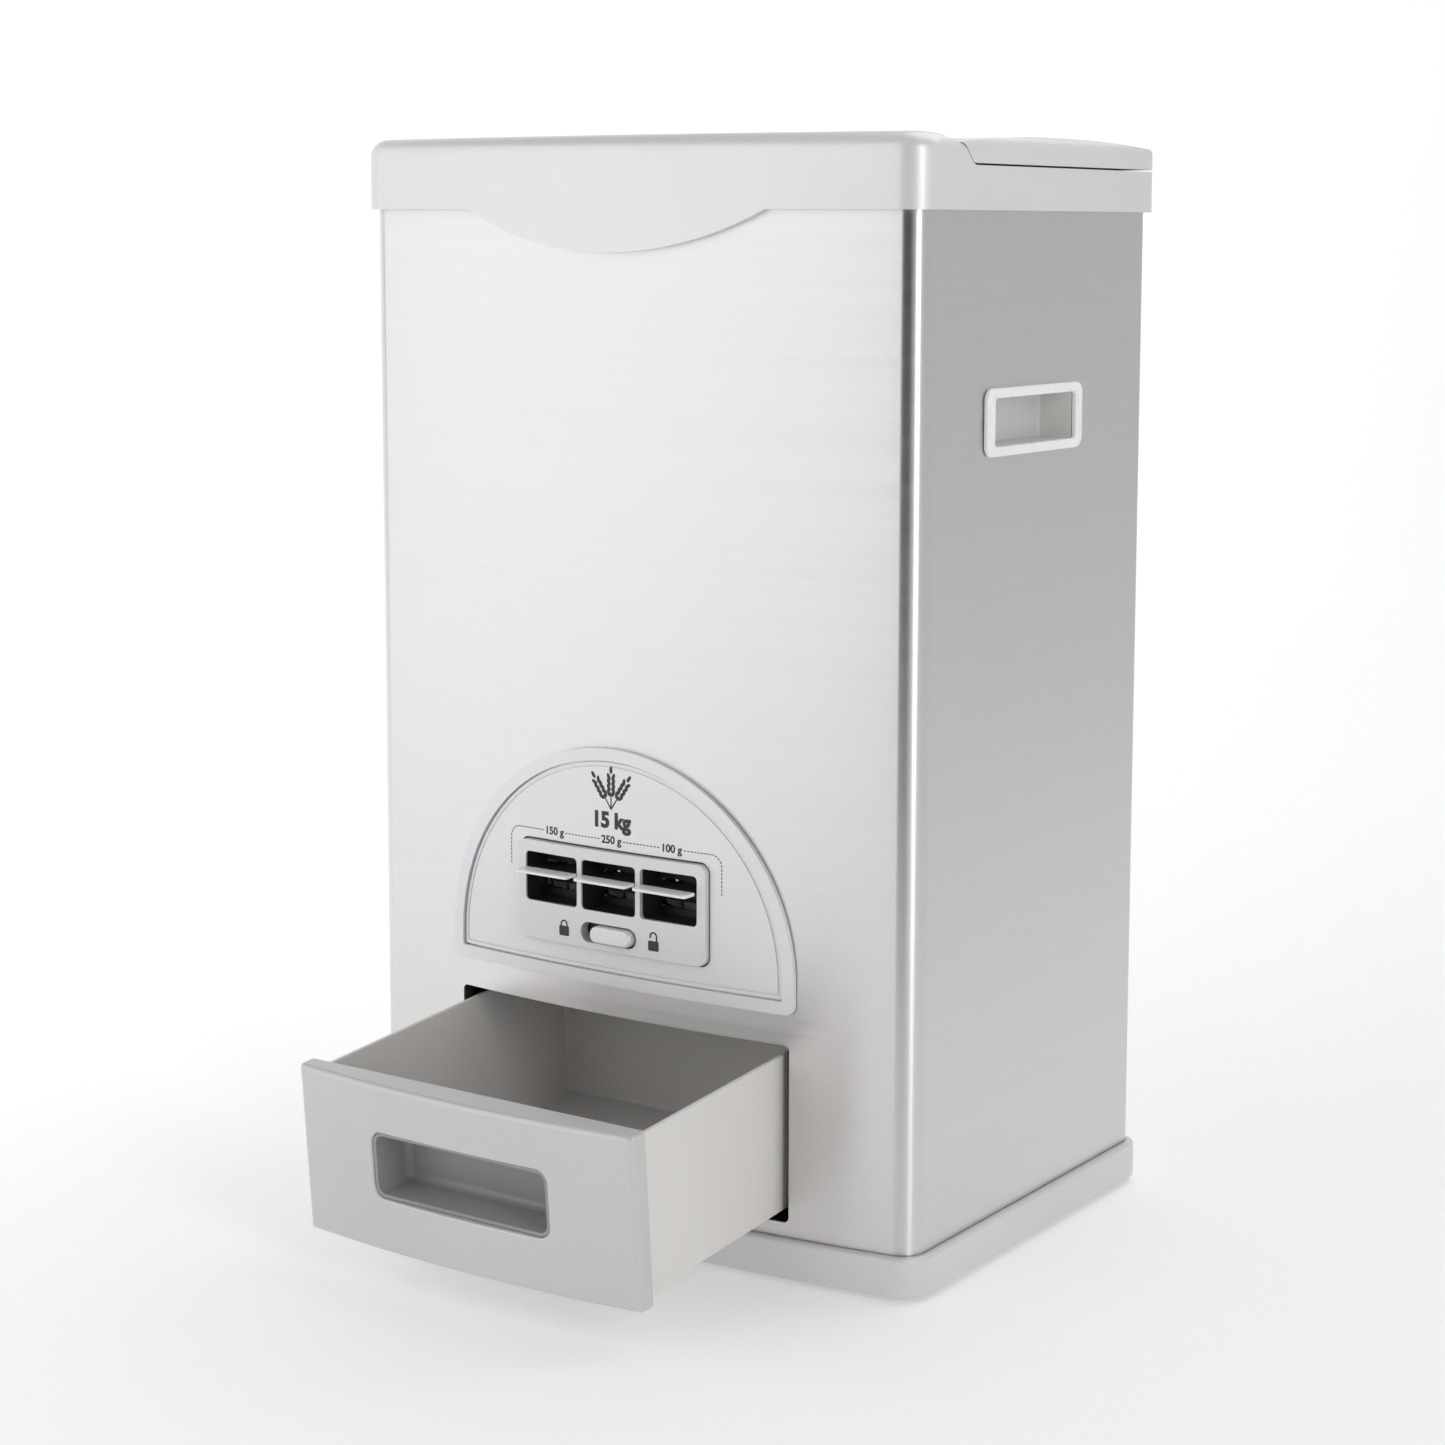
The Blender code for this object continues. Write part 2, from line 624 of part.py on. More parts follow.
def make_collar(plastic, pin_steel):
    """Top collar: skirt over the steel, deck round the mouth, front bar and curved apron."""
    lowest = COLLAR_BOTTOM - APRON_DROP
    collar = prism("top_collar", plan(TRIM_PROUD), lowest - OVERCUT, TOP_HEIGHT)
    soften(collar, at_height(TOP_HEIGHT), COLLAR_EDGE, 3)
    wide = BODY_WIDTH
    above = TOP_HEIGHT + GAP / 3
    crown = [(-BODY_DEPTH, 0.0), (-BODY_DEPTH, TOP_HEIGHT + OVERCUT), (CORNER_Y + BAR_CREASE, above)]
    crown += bar_slope() + [(BODY_DEPTH, SEAM_HEIGHT), (BODY_DEPTH, 0.0)]
    keep(collar, prism("collar_profile", crown, -wide, wide, "X"))
    bottom = lowest - 2 * OVERCUT
    cut(collar, prism("skirt_inside", plan(GAP), bottom, SEAM_HEIGHT - DECK_THICKNESS))
    half = APRON_WIDTH / 2
    radius = (half ** 2 + APRON_DROP ** 2) / (2 * APRON_DROP)
    lean = math.degrees(math.asin(half / radius))
    smile = arc((0, lowest + radius), radius, 270 - lean, 270 + lean, APRON_STEPS)
    below = [(-wide, COLLAR_BOTTOM), (-wide, bottom), (wide, bottom), (wide, COLLAR_BOTTOM)]
    behind = CORNER_Y + 4 * OVERCUT
    cut(collar, prism("apron_trim", below + smile[::-1], -BODY_DEPTH, behind, "Y"))
    cut(collar, block("skirt_trim", (-wide, behind - OVERLAP, bottom), (wide, BODY_DEPTH, COLLAR_BOTTOM)))
    side = MOUTH_WIDTH / 2
    mouth = rounded_box(-side, MOUTH_FRONT, side, MOUTH_REAR, MOUTH_CORNER)
    cut(collar, prism("mouth", mouth, bottom, TOP_HEIGHT + OVERCUT))
    hollow = (-side, CORNER_Y - BAR_HOLLOW_FRONT, side, BAR_REAR - BAR_HOLLOW_REAR)
    ceiling = TOP_HEIGHT - BAR_REAR_DROP - BAR_ROOF
    cut(collar, prism("bar_hollow", rounded_box(*hollow, BAR_HOLLOW_CORNER), bottom, ceiling))
    reach = REAR_Y + GAP + OVERLAP
    for hand, x, sides in hinge_knuckles():
        for place, side_x in zip(("outer", "inner"), sides):
            name = f"collar_knuckle_{hand}_{place}"
            web = (SEAM_HEIGHT - WEB_HEIGHT, SEAM_HEIGHT - GAP)
            join(collar, knuckle(name, side_x, KNUCKLE_LENGTH, *web, reach))
        length = 3 * KNUCKLE_LENGTH + 4 * GAP
        bore = PIN_RADIUS + PIN_CLEARANCE
        cut(collar, rod(f"collar_bore_{hand}", (x, HINGE_Y, HINGE_Z), bore, 2 * length, "X", SMALL_SIDES))
        pin = rod(f"lid_hinge_pin_{hand}", (x, HINGE_Y, HINGE_Z), PIN_RADIUS, length, "X", SMALL_SIDES)
        finish(pin, pin_steel)
    return finish(collar, plastic)


def make_lid(plastic, rubber):
    """Domed lid behind the bar, hollow below, with hinge knuckles and a seal."""
    lid = prism("lid", plan(TRIM_PROUD), SEAM_HEIGHT + SEAM_GAP, TOP_HEIGHT)
    soften(lid, at_height(TOP_HEIGHT), LID_EDGE, 3)
    slope = bar_slope(SEAM_GAP)
    start, end = slope[0][0], REAR_Y + 2 * TRIM_PROUD
    bottom = SEAM_HEIGHT - OVERCUT
    outline = [(end, bottom)]
    for index in range(2 * DOME_STEPS + 1):
        share = 1 - index / DOME_STEPS
        outline.append(((start + end) / 2 + share * (end - start) / 2, TOP_HEIGHT - LID_DOME * share ** 2))
    outline += slope[1:] + [(slope[-1][0], bottom)]
    keep(lid, prism("lid_profile", outline, -BODY_WIDTH, BODY_WIDTH, "X"))
    side = BODY_WIDTH / 2 + TRIM_PROUD - LID_WALL
    front = slope[-1][0] + LID_WALL / 2
    back = REAR_Y + TRIM_PROUD - LID_WALL
    inside = rounded_box(-side, front, side, back, LID_HOLLOW_CORNER)
    cut(lid, prism("lid_hollow", inside, bottom, TOP_HEIGHT - LID_DOME - LID_ROOF))
    reach = REAR_Y + TRIM_PROUD - LID_WALL / 2
    low = SEAM_HEIGHT + SEAM_GAP
    for hand, x, _ in hinge_knuckles():
        length = KNUCKLE_LENGTH - GAP
        join(lid, knuckle(f"lid_knuckle_{hand}", x, length, low, low + WEB_HEIGHT, reach))
        bore = PIN_RADIUS + PIN_CLEARANCE
        cut(lid, rod(f"lid_bore_{hand}", (x, HINGE_Y, HINGE_Z), bore, 2 * KNUCKLE_LENGTH, "X", SMALL_SIDES))
    outer = rounded_box(-side + GAP, front + GAP, side - GAP, back - GAP, LID_HOLLOW_CORNER)
    inset = SEAL_WIDTH + GAP
    inner = rounded_box(-side + inset, front + inset, side - inset, back - inset, SEAL_CORNER)
    seal = prism("lid_seal", outer, low, low + SEAL_HEIGHT)
    cut(seal, prism("seal_hole", inner, bottom, TOP_HEIGHT))
    finish(seal, rubber)
    return finish(lid, plastic)


# ---------------------------------------------------------------- side handles

def make_handles(white, grey):
    """Raised bezel and sunk pocket on each side."""
    face = BODY_WIDTH / 2 + GAP
    opening = handle_outline(HANDLE_BORDER, HANDLE_LIP, POCKET_MOUTH_CORNER)
    outside = handle_outline(HANDLE_BORDER - POCKET_WALL, HANDLE_LIP - POCKET_WALL, POCKET_CORNER)
    for hand, sign in (("left", -1), ("right", 1)):
        low, high = sorted((sign * face, sign * (face + HANDLE_PROUD)))
        bezel = prism(f"handle_bezel_{hand}", handle_outline(0, 0, HANDLE_CORNER), low, high, "X")
        outer_x = sign * (face + HANDLE_PROUD)
        soften(bezel, lambda point: abs(point.x - outer_x) < NEAR, BEZEL_EDGE, 2)
        cut(bezel, prism(f"bezel_hole_{hand}", opening, low - OVERCUT, high + OVERCUT, "X"))
        finish(bezel, white)
        mouth = sign * BODY_WIDTH / 2
        bottom = sign * (BODY_WIDTH / 2 - POCKET_DEPTH)
        pocket = prism(f"handle_pocket_{hand}", outside, *sorted((mouth, bottom)), "X")
        inner = sign * (BODY_WIDTH / 2 - POCKET_DEPTH + POCKET_WALL)
        hollow = prism(f"pocket_hollow_{hand}", opening, *sorted((mouth + sign * OVERCUT, inner)), "X")
        cut(pocket, hollow)
        finish(pocket, grey)


# ---------------------------------------------------------------- hopper and metering

def duct_rear(depth):
    """Outer rear face of a duct of one depth."""
    return DUCT_FRONT + depth + 2 * DUCT_WALL


def loft(name, rings, plastic):
    """Thin open wall through rectangles, each given as half width, front, rear and height."""
    mesh = bpy.data.meshes.new(name)
    work = bmesh.new()
    loops = []
    for half, front, rear, z in rings:
        corners = ((-half, front), (half, front), (half, rear), (-half, rear))
        verts = [work.verts.new((x, y, z)) for x, y in corners]
        loops.append([work.edges.new((verts[i], verts[(i + 1) % 4])) for i in range(4)])
    for upper, lower in zip(loops, loops[1:]):
        bmesh.ops.bridge_loops(work, edges=upper + lower)
    bmesh.ops.recalc_face_normals(work, faces=work.faces)
    work.to_mesh(mesh)
    work.free()
    wall = add_object(name, mesh)
    shell = wall.modifiers.new("wall", "SOLIDIFY")
    shell.thickness = HOPPER_WALL
    shell.offset = 1.0
    shell.use_even_offset = True
    return finish(wall, plastic)


def make_hopper(plastic):
    """Straight bin below the mouth, and the funnel from it down to the metering housing."""
    outlet = (LEVER_PITCH + DUCT_OUTER_WIDTH / 2 - DUCT_WALL, DUCT_FRONT + DUCT_WALL)
    outlet_rear = duct_rear(max(DUCT_DEPTHS)) - DUCT_WALL
    top = SEAM_HEIGHT - DECK_THICKNESS - GAP
    bottom = HOUSING_TOP + GAP
    bin_plan = (HOPPER_HALF_WIDTH, HOPPER_FRONT, HOPPER_REAR)
    outlet_plan = (outlet[0], outlet[1], outlet_rear)
    loft("hopper_bin", ((*bin_plan, top), (*bin_plan, HOPPER_KNEE + GAP)), plastic)
    rings = ((*bin_plan, HOPPER_KNEE), (*outlet_plan, bottom + HOPPER_NECK), (*outlet_plan, bottom))
    loft("hopper_funnel", rings, plastic)


def make_housing(plastic):
    """Top plate with three ducts of different depths, and ears that hold the shaft."""
    half = LEVER_PITCH + DUCT_OUTER_WIDTH / 2
    ear = half + EAR_REACH
    rear = duct_rear(max(DUCT_DEPTHS))
    front = SHAFT_Y - EAR_HALF_DEPTH
    plate_low = HOUSING_TOP - HOUSING_PLATE
    housing = block("metering_housing", (-ear, front, plate_low), (ear, rear + HOUSING_LIP, HOUSING_TOP))
    for dose, x, depth in zip(DOSE_NAMES, LEVER_X, DUCT_DEPTHS):
        side = DUCT_OUTER_WIDTH / 2
        low = SHAFT_Z - GATE_RADIUS - OVERCUT
        high = plate_low + OVERLAP
        join(housing, block(f"duct_{dose}", (x - side, DUCT_FRONT, low), (x + side, duct_rear(depth), high)))
    for hand, sign in (("left", -1), ("right", 1)):
        xs = sorted((sign * ear, sign * (ear - EAR_THICKNESS)))
        low = (xs[0], front, SHAFT_Z - EAR_DROP)
        high = (xs[1], front + 2 * EAR_HALF_DEPTH, plate_low + OVERLAP)
        join(housing, block(f"shaft_ear_{hand}", low, high))
    for dose, x, depth in zip(DOSE_NAMES, LEVER_X, DUCT_DEPTHS):
        side = DUCT_OUTER_WIDTH / 2 - DUCT_WALL
        inner_rear = duct_rear(depth) - DUCT_WALL
        low = (x - side, DUCT_FRONT + DUCT_WALL, PLINTH_TOP)
        cut(housing, block(f"duct_bore_{dose}", low, (x + side, inner_rear, HOUSING_TOP + OVERCUT)))
    radius = GATE_RADIUS - GATE_CLEARANCE
    outline = arc((SHAFT_Y, SHAFT_Z), radius, -92, -10, GATE_STEPS)
    outline += [(REAR_Y, SHAFT_Z - OVERCUT), (REAR_Y, PLINTH_TOP), (outline[0][0], PLINTH_TOP)]
    cut(housing, prism("gate_sweep", outline, -BODY_WIDTH, BODY_WIDTH, "X"))
    bore = SHAFT_RADIUS + PIN_CLEARANCE
    cut(housing, rod("shaft_bore", (0, SHAFT_Y, SHAFT_Z), bore, BODY_WIDTH, "X", SMALL_SIDES))
    finish(housing, plastic)
    return ear


def make_shaft(steel, ear):
    """Steel shaft through the three levers, held by a clip at each end."""
    length = 2 * (ear + SHAFT_END)
    shaft = rod("lever_shaft", (0, SHAFT_Y, SHAFT_Z), SHAFT_RADIUS, length, "X", ROUND_SIDES)
    finish(shaft, steel)
    for hand, sign in (("left", -1), ("right", 1)):
        x = sign * (ear + GAP + CLIP_THICKNESS / 2)
        clip = rod(f"shaft_clip_{hand}", (x, SHAFT_Y, SHAFT_Z), CLIP_RADIUS, CLIP_THICKNESS, "X", SMALL_SIDES)
        bore = SHAFT_RADIUS + PIN_CLEARANCE
        cut(clip, rod(f"clip_bore_{hand}", (x, SHAFT_Y, SHAFT_Z), bore, OVERCUT, "X", SMALL_SIDES))
        finish(clip, steel)


def make_spring(name, x, steel):
    """Return spring: a few turns of wire round the shaft."""
    inner = SHAFT_RADIUS + SPRING_CLEARANCE
    coil = bpy.data.curves.new(name, "CURVE")
    coil.dimensions = "3D"
    coil.bevel_depth = SPRING_WIRE
    coil.bevel_resolution = 1
    coil.use_fill_caps = True
    spline = coil.splines.new("POLY")
    steps = 10
    count = SPRING_TURNS * steps + 1
    spline.points.add(count - 1)
    pitch = 2.2 * SPRING_WIRE
    for index, point in enumerate(spline.points):
        turn = 2 * math.pi * index / steps
        radius = inner + SPRING_WIRE
        along = (index / steps - SPRING_TURNS / 2) * pitch
        point.co = (x + along, SHAFT_Y + radius * math.cos(turn), SHAFT_Z + radius * math.sin(turn), 1)
    drawn = bpy.data.objects.new(name, coil)
    bpy.context.scene.collection.objects.link(drawn)
    view = bpy.context.evaluated_depsgraph_get()
    mesh = bpy.data.meshes.new_from_object(drawn.evaluated_get(view))
    bpy.data.objects.remove(drawn)
    bpy.data.curves.remove(coil)
    tidy_mesh(mesh)
    return finish(add_object(name, mesh), steel)


# ---------------------------------------------------------------- levers and gates

def attach(parent, *pieces):
    """Parent pieces, and the cutters that shape them, to an empty."""
    for piece in pieces:
        piece.parent = parent
        attach(parent, *(change.object for change in piece.modifiers if change.type == "BOOLEAN"))


def pivot_at(name, place):
    """Empty on a joint's axis."""
    pivot = bpy.data.objects.new(name, None)
    pivot.location = place
    parts.objects.link(pivot)
    return pivot


def make_lever(dose, plastic):
    """Press lever about the shaft's axis: hub, arm through the recess's slot, and tab."""
    half = LEVER_THICKNESS / 2
    tip = front_y(0.0, MODULE_PROUD) - TAB_PROUD - SHAFT_Y
    high = TAB_Z - SHAFT_Z
    neck = (-ARM_NECK, HUB_RADIUS + OVERLAP)
    middle = [(0.0, HUB_RADIUS - half), neck, (-ARM_BEND, high), (tip, high)]
    upper = [(y, z + half) for y, z in middle]
    lower = [(y, z - half) for y, z in reversed(middle)]
    lever = prism(f"dose_lever_{dose}", upper + lower, -LEVER_WIDTH / 2, LEVER_WIDTH / 2, "X")
    soften(lever, lambda point: point.y < tip + NEAR, LEVER_EDGE, 2)
    join(lever, rod(f"lever_hub_{dose}", (0, 0, 0), HUB_RADIUS, LEVER_WIDTH, "X"))
    bore = SHAFT_RADIUS + SHAFT_CLEARANCE
    cut(lever, rod(f"lever_bore_{dose}", (0, 0, 0), bore, 2 * LEVER_WIDTH, "X"))
    return finish(lever, plastic)


def make_gate(dose, steel):
    """Curved gate under a duct: an arc plate between two cheeks that clasp the lever's hub."""
    start, end = GATE_START - 90, GATE_END - 90
    ring = HUB_RADIUS + GATE_RING_WALL
    pie = arc((0, 0), GATE_RADIUS + GATE_THICKNESS, start, end, 14)
    pie += arc((0, 0), ring - OVERLAP, end, start, 6)
    width = LEVER_WIDTH - 2 * GAP
    inner = width - 2 * GATE_THICKNESS
    gate = prism(f"dose_gate_{dose}", pie, -width / 2, width / 2, "X")
    join(gate, rod(f"gate_ring_{dose}", (0, 0, 0), ring, width, "X", 20))
    room = arc((0, 0), GATE_RADIUS, start - 30, end + 30, 24) + [(0.0, 0.0)]
    cut(gate, prism(f"gate_inside_{dose}", room, -inner / 2, inner / 2, "X"))
    cut(gate, rod(f"gate_room_{dose}", (0, 0, 0), ring + GATE_ROOM, inner, "X", 20))
    cut(gate, rod(f"gate_bore_{dose}", (0, 0, 0), HUB_RADIUS + GAP, 2 * width, "X"))
    top = HUB_RADIUS / 2
    cut(gate, block(f"gate_mouth_{dose}", (-width, -2 * OVERCUT, top), (width, top, 2 * OVERCUT)))
    return finish(gate, steel)


def make_levers(plastic, steel):
    """Three levers, each with its gate and its spring."""
    for dose, x in zip(DOSE_NAMES, LEVER_X):
        pivot = pivot_at(f"pivot_{dose}", (x, SHAFT_Y, SHAFT_Z))
        attach(pivot, make_lever(dose, plastic), make_gate(dose, steel))
        make_spring(f"lever_spring_{dose}", x + LEVER_WIDTH / 2 + SPRING_OFFSET, steel)


# ---------------------------------------------------------------- fascia, module and lock

def front_skin(name, inner, outer, half, low, high):
    """Slab that follows the bowed front, between two outsets and two heights."""
    return prism(name, front_strip(inner, outer, half), low, high)


def make_fascia(plate_silver, rim_silver):
    """Half-moon plate inside a raised rim, both following the bowed front."""
    half = FASCIA_WIDTH / 2 + OVERCUT / 2
    low, high = FASCIA_BOTTOM - OVERCUT / 2, FASCIA_TOP + OVERCUT / 2
    rim = front_skin("fascia_rim", GAP, RIM_PROUD, half, low, high)
    keep(rim, prism("rim_outline", arch(0.0), -BODY_DEPTH, 0.0, "Y"))
    cut(rim, prism("rim_hole", arch(RIM_WIDTH), -BODY_DEPTH - OVERCUT, OVERCUT, "Y"))
    plate = front_skin("fascia_plate", GAP, PLATE_PROUD, half, low, high)
    keep(plate, prism("plate_outline", arch(RIM_WIDTH + GAP), -BODY_DEPTH, 0.0, "Y"))
    middle = (MODULE_BOTTOM + MODULE_TOP) / 2
    width, height = MODULE_WIDTH + 2 * GAP, MODULE_TOP - MODULE_BOTTOM + 2 * GAP
    hole = centred(0, middle, width, height, MODULE_CORNER + GAP)
    cut(plate, prism("module_hole", hole, -BODY_DEPTH - OVERCUT, OVERCUT, "Y"))
    finish(rim, rim_silver)
    finish(plate, plate_silver)


def window_outline(x):
    """Outline of the window over one lever."""
    middle = (WINDOW_BOTTOM + WINDOW_TOP) / 2
    return centred(x, middle, WINDOW_WIDTH, WINDOW_TOP - WINDOW_BOTTOM, WINDOW_CORNER, 2)


def make_module(silver, dark):
    """Raised module with three windows and the lock's slot, and the dark recess behind it."""
    rear = MODULE_REAR
    ahead = rear - 3 * OVERCUT
    middle = (MODULE_BOTTOM + MODULE_TOP) / 2
    outline = centred(0, middle, MODULE_WIDTH, MODULE_TOP - MODULE_BOTTOM, MODULE_CORNER)
    module = prism("lever_module", outline, ahead + OVERCUT, rear, "Y")
    edges = (MODULE_BOTTOM - OVERCUT, MODULE_TOP + OVERCUT)
    keep(module, front_skin("module_face", -2 * OVERCUT, MODULE_PROUD, MODULE_WIDTH / 2 + OVERCUT, *edges))
    half = LEVER_PITCH + WINDOW_WIDTH / 2 + RECESS_BACK
    front = rear + GAP
    back = front + RECESS_DEPTH
    low, high = WINDOW_BOTTOM - RECESS_BACK, WINDOW_TOP + RECESS_BACK
    recess = block("lever_recess", (-half, front, low), (half, back + RECESS_BACK, high))
    slot_half = LEVER_WIDTH / 2 + SLOT_MARGIN
    for dose, x in zip(DOSE_NAMES, LEVER_X):
        cut(module, prism(f"window_{dose}", window_outline(x), ahead, rear + OVERCUT, "Y"))
        cut(recess, prism(f"recess_{dose}", window_outline(x), ahead, back, "Y"))
        slot = ((x - slot_half, back - OVERLAP, SLOT_BOTTOM), (x + slot_half, back + OVERCUT, SLOT_TOP))
        cut(recess, block(f"arm_slot_{dose}", *slot))
    slot = centred(0, LOCK_Z, LOCK_SLOT_WIDTH, LOCK_SLOT_HEIGHT, LOCK_SLOT_HEIGHT / 2 - OBROUND_FLAT, 5)
    cut(module, prism("lock_slot", slot, ahead, rear + OVERCUT, "Y"))
    finish(module, silver)
    finish(recess, dark)


def make_lock(silver, dark):
    """Lock slide at its open end: a knob through the slot and a bar behind the module."""
    rear = MODULE_REAR
    x = LOCK_TRAVEL / 2
    face = front_y(0.0, MODULE_PROUD) - KNOB_PROUD
    outline = centred(x, LOCK_Z, KNOB_WIDTH, KNOB_HEIGHT, KNOB_HEIGHT / 2 - OBROUND_FLAT, 5)
    knob = prism("lock_knob", outline, face, rear, "Y")
    soften(knob, lambda point: abs(point.y - face) < NEAR, KNOB_EDGE, 2)
    outline = centred(x, LOCK_Z, LOCK_BAR_WIDTH, LOCK_BAR_HEIGHT, LOCK_BAR_CORNER)
    bar = prism("lock_bar", outline, rear + GAP, rear + GAP + LOCK_BAR_THICKNESS, "Y")
    finish(knob, silver)
    finish(bar, dark)


# ---------------------------------------------------------------- drawer

def make_trim(dark):
    """Dark trim behind the steel, round the drawer's opening."""
    outer = -SHEET - GAP
    half = OPENING_WIDTH / 2
    reach = half + TRIM_WALL
    low, high = OPENING_BOTTOM, OPENING_TOP
    trim = front_skin("opening_trim", outer - TRIM_DEPTH, outer, reach, low - TRIM_WALL, high + TRIM_WALL)
    edge = 2 * GAP
    hole = rounded_box(-half - edge, low - edge, half + edge, high + edge, OPENING_CORNER)
    cut(trim, prism("trim_hole", hole, -BODY_DEPTH, 0.0, "Y"))
    return finish(trim, dark)


def grip_outline(margin=0.0):
    """Outline of the drawer's grip in its own X and Z, moved out by margin."""
    width, height = GRIP_WIDTH + 2 * margin, GRIP_HEIGHT + 2 * margin
    return centred(0, GRIP_CENTRE, width, height, GRIP_CORNER + margin)


def make_drawer_front(silver, front):
    """Bowed drawer front with rounded edges and the hole for its grip."""
    half = COVER_WIDTH / 2
    centre = COVER_FRONT + math.sqrt(FRONT_RADIUS ** 2 - half ** 2)
    lean = math.degrees(math.asin(half / FRONT_RADIUS))
    outline = arc((0, centre), FRONT_RADIUS, 270 - lean, 270 + lean, FRONT_SEGMENTS)
    outline += [(half, front - GAP), (-half, front - GAP)]
    edges = (-COVER_DROP, DRAWER_HEIGHT + COVER_RISE)
    ahead = -2 * DRAWER_EXTENSION
    cover = prism("drawer_front", outline, *edges)

    def on_edge(point):
        return point.y < COVER_FRONT + NEAR and min(abs(point.z - z) for z in edges) < NEAR

    soften(cover, on_edge, COVER_EDGE, 3)
    cut(cover, prism("front_hole", grip_outline(), ahead, 0.0, "Y"))
    return finish(cover, silver)


def make_drawer(beige, silver, grip_grey, bolt):
    """Drawer on its falling runners: box, bowed front, sunk grip and two screws."""
    frame = pivot_at("drawer_frame", (0, DRAWER_ORIGIN_Y, DRAWER_ORIGIN_Z))
    frame.rotation_euler = (FALL, 0, 0)
    half = DRAWER_WIDTH / 2
    wall = DRAWER_WALL
    front, rear = -DRAWER_EXTENSION, DRAWER_LENGTH - DRAWER_EXTENSION
    box = prism("drawer_box", rounded_box(-half, front, half, rear, DRAWER_CORNER), 0.0, DRAWER_HEIGHT)
    step = (half - DRAWER_CORNER, front + STEP_LENGTH, wall / 2)
    join(box, block("drawer_step", (DRAWER_CORNER - half, front, -STEP_DROP), step))
    inside = rounded_box(wall - half, front + wall, half - wall, rear - wall, DRAWER_CORNER - wall / 2)
    cut(box, prism("drawer_hollow", inside, wall, DRAWER_HEIGHT + OVERCUT))
    cut(box, prism("grip_hole", grip_outline(), front - OVERCUT, front + OVERCUT, "Y"))
    cover = make_drawer_front(silver, front)
    mouth = COVER_FRONT - COVER_EDGE
    back = mouth + GRIP_DEPTH
    cup = prism("drawer_grip", grip_outline(-GAP), mouth, back, "Y")
    hollow = grip_outline(-GAP - GRIP_WALL)
    cut(cup, prism("grip_hollow", hollow, mouth - OVERCUT, back - GRIP_WALL, "Y"))
    screws = []
    for hand, sign in (("left", -1), ("right", 1)):
        x = sign * (half + GRIP_WIDTH / 2) / 2
        hole = SCREW_SHANK_RADIUS + SCREW_HOLE_CLEARANCE
        place = (x, front - GAP, GRIP_CENTRE)
        for target, tag in ((box, "box"), (cover, "front")):
            cut(target, rod(f"{tag}_screw_hole_{hand}", place, hole, 2 * SCREW_LENGTH, "Y", HOLE_SIDES))
        seat = Vector((x, front + wall + GAP, GRIP_CENTRE))
        screws.append(finish(make_screw(f"drawer_screw_{hand}", seat, (0, 1, 0)), bolt))
    attach(frame, box, cover, cup, *screws)
    finish(box, beige)
    finish(cup, grip_grey)


def from_drawer(y, z):
    """Cabinet Y and Z of a point in the drawer's frame."""
    return (
        DRAWER_ORIGIN_Y + y * math.cos(FALL) - z * math.sin(FALL),
        DRAWER_ORIGIN_Z + y * math.sin(FALL) + z * math.cos(FALL),
    )


def make_runners(plastic):
    """Two runners on the plinth's floor, falling towards the front, under the drawer's sides."""
    start, end = RUNNER_START, RUNNER_START + RUNNER_LENGTH
    floor = FOOT_HEIGHT + PLINTH_FLOOR + GAP
    under = -GAP - RUNNER_LEDGE_THICKNESS
    top = [from_drawer(start, RUNNER_RISE), from_drawer(end, RUNNER_RISE)]
    web = [(top[0][0], floor), (top[1][0], floor), top[1], top[0]]
    ledge = [
        from_drawer(start, under), from_drawer(end, under), from_drawer(end, -GAP), from_drawer(start, -GAP)
    ]
    inner = DRAWER_WIDTH / 2 + 2 * GAP
    for hand, sign in (("left", -1), ("right", 1)):
        name = f"drawer_runner_{hand}"
        runner = prism(name, web, *sorted((sign * inner, sign * (inner + RUNNER_WEB))), "X")
        edges = sorted((sign * (inner - RUNNER_LEDGE), sign * (inner + RUNNER_WEB / 2)))
        join(runner, prism(f"runner_ledge_{hand}", ledge, *edges, "X"))
        finish(runner, plastic)


# ---------------------------------------------------------------- assembly

def front_most():
    """Y of the drawer front's furthest point at rest, on its rounded top edge."""
    sag = FRONT_RADIUS - math.sqrt(FRONT_RADIUS ** 2 - COVER_WIDTH ** 2 / 4)
    y = COVER_FRONT - sag + COVER_EDGE
    z = DRAWER_HEIGHT + COVER_RISE - COVER_EDGE
    return from_drawer(y, z)[0] - COVER_EDGE


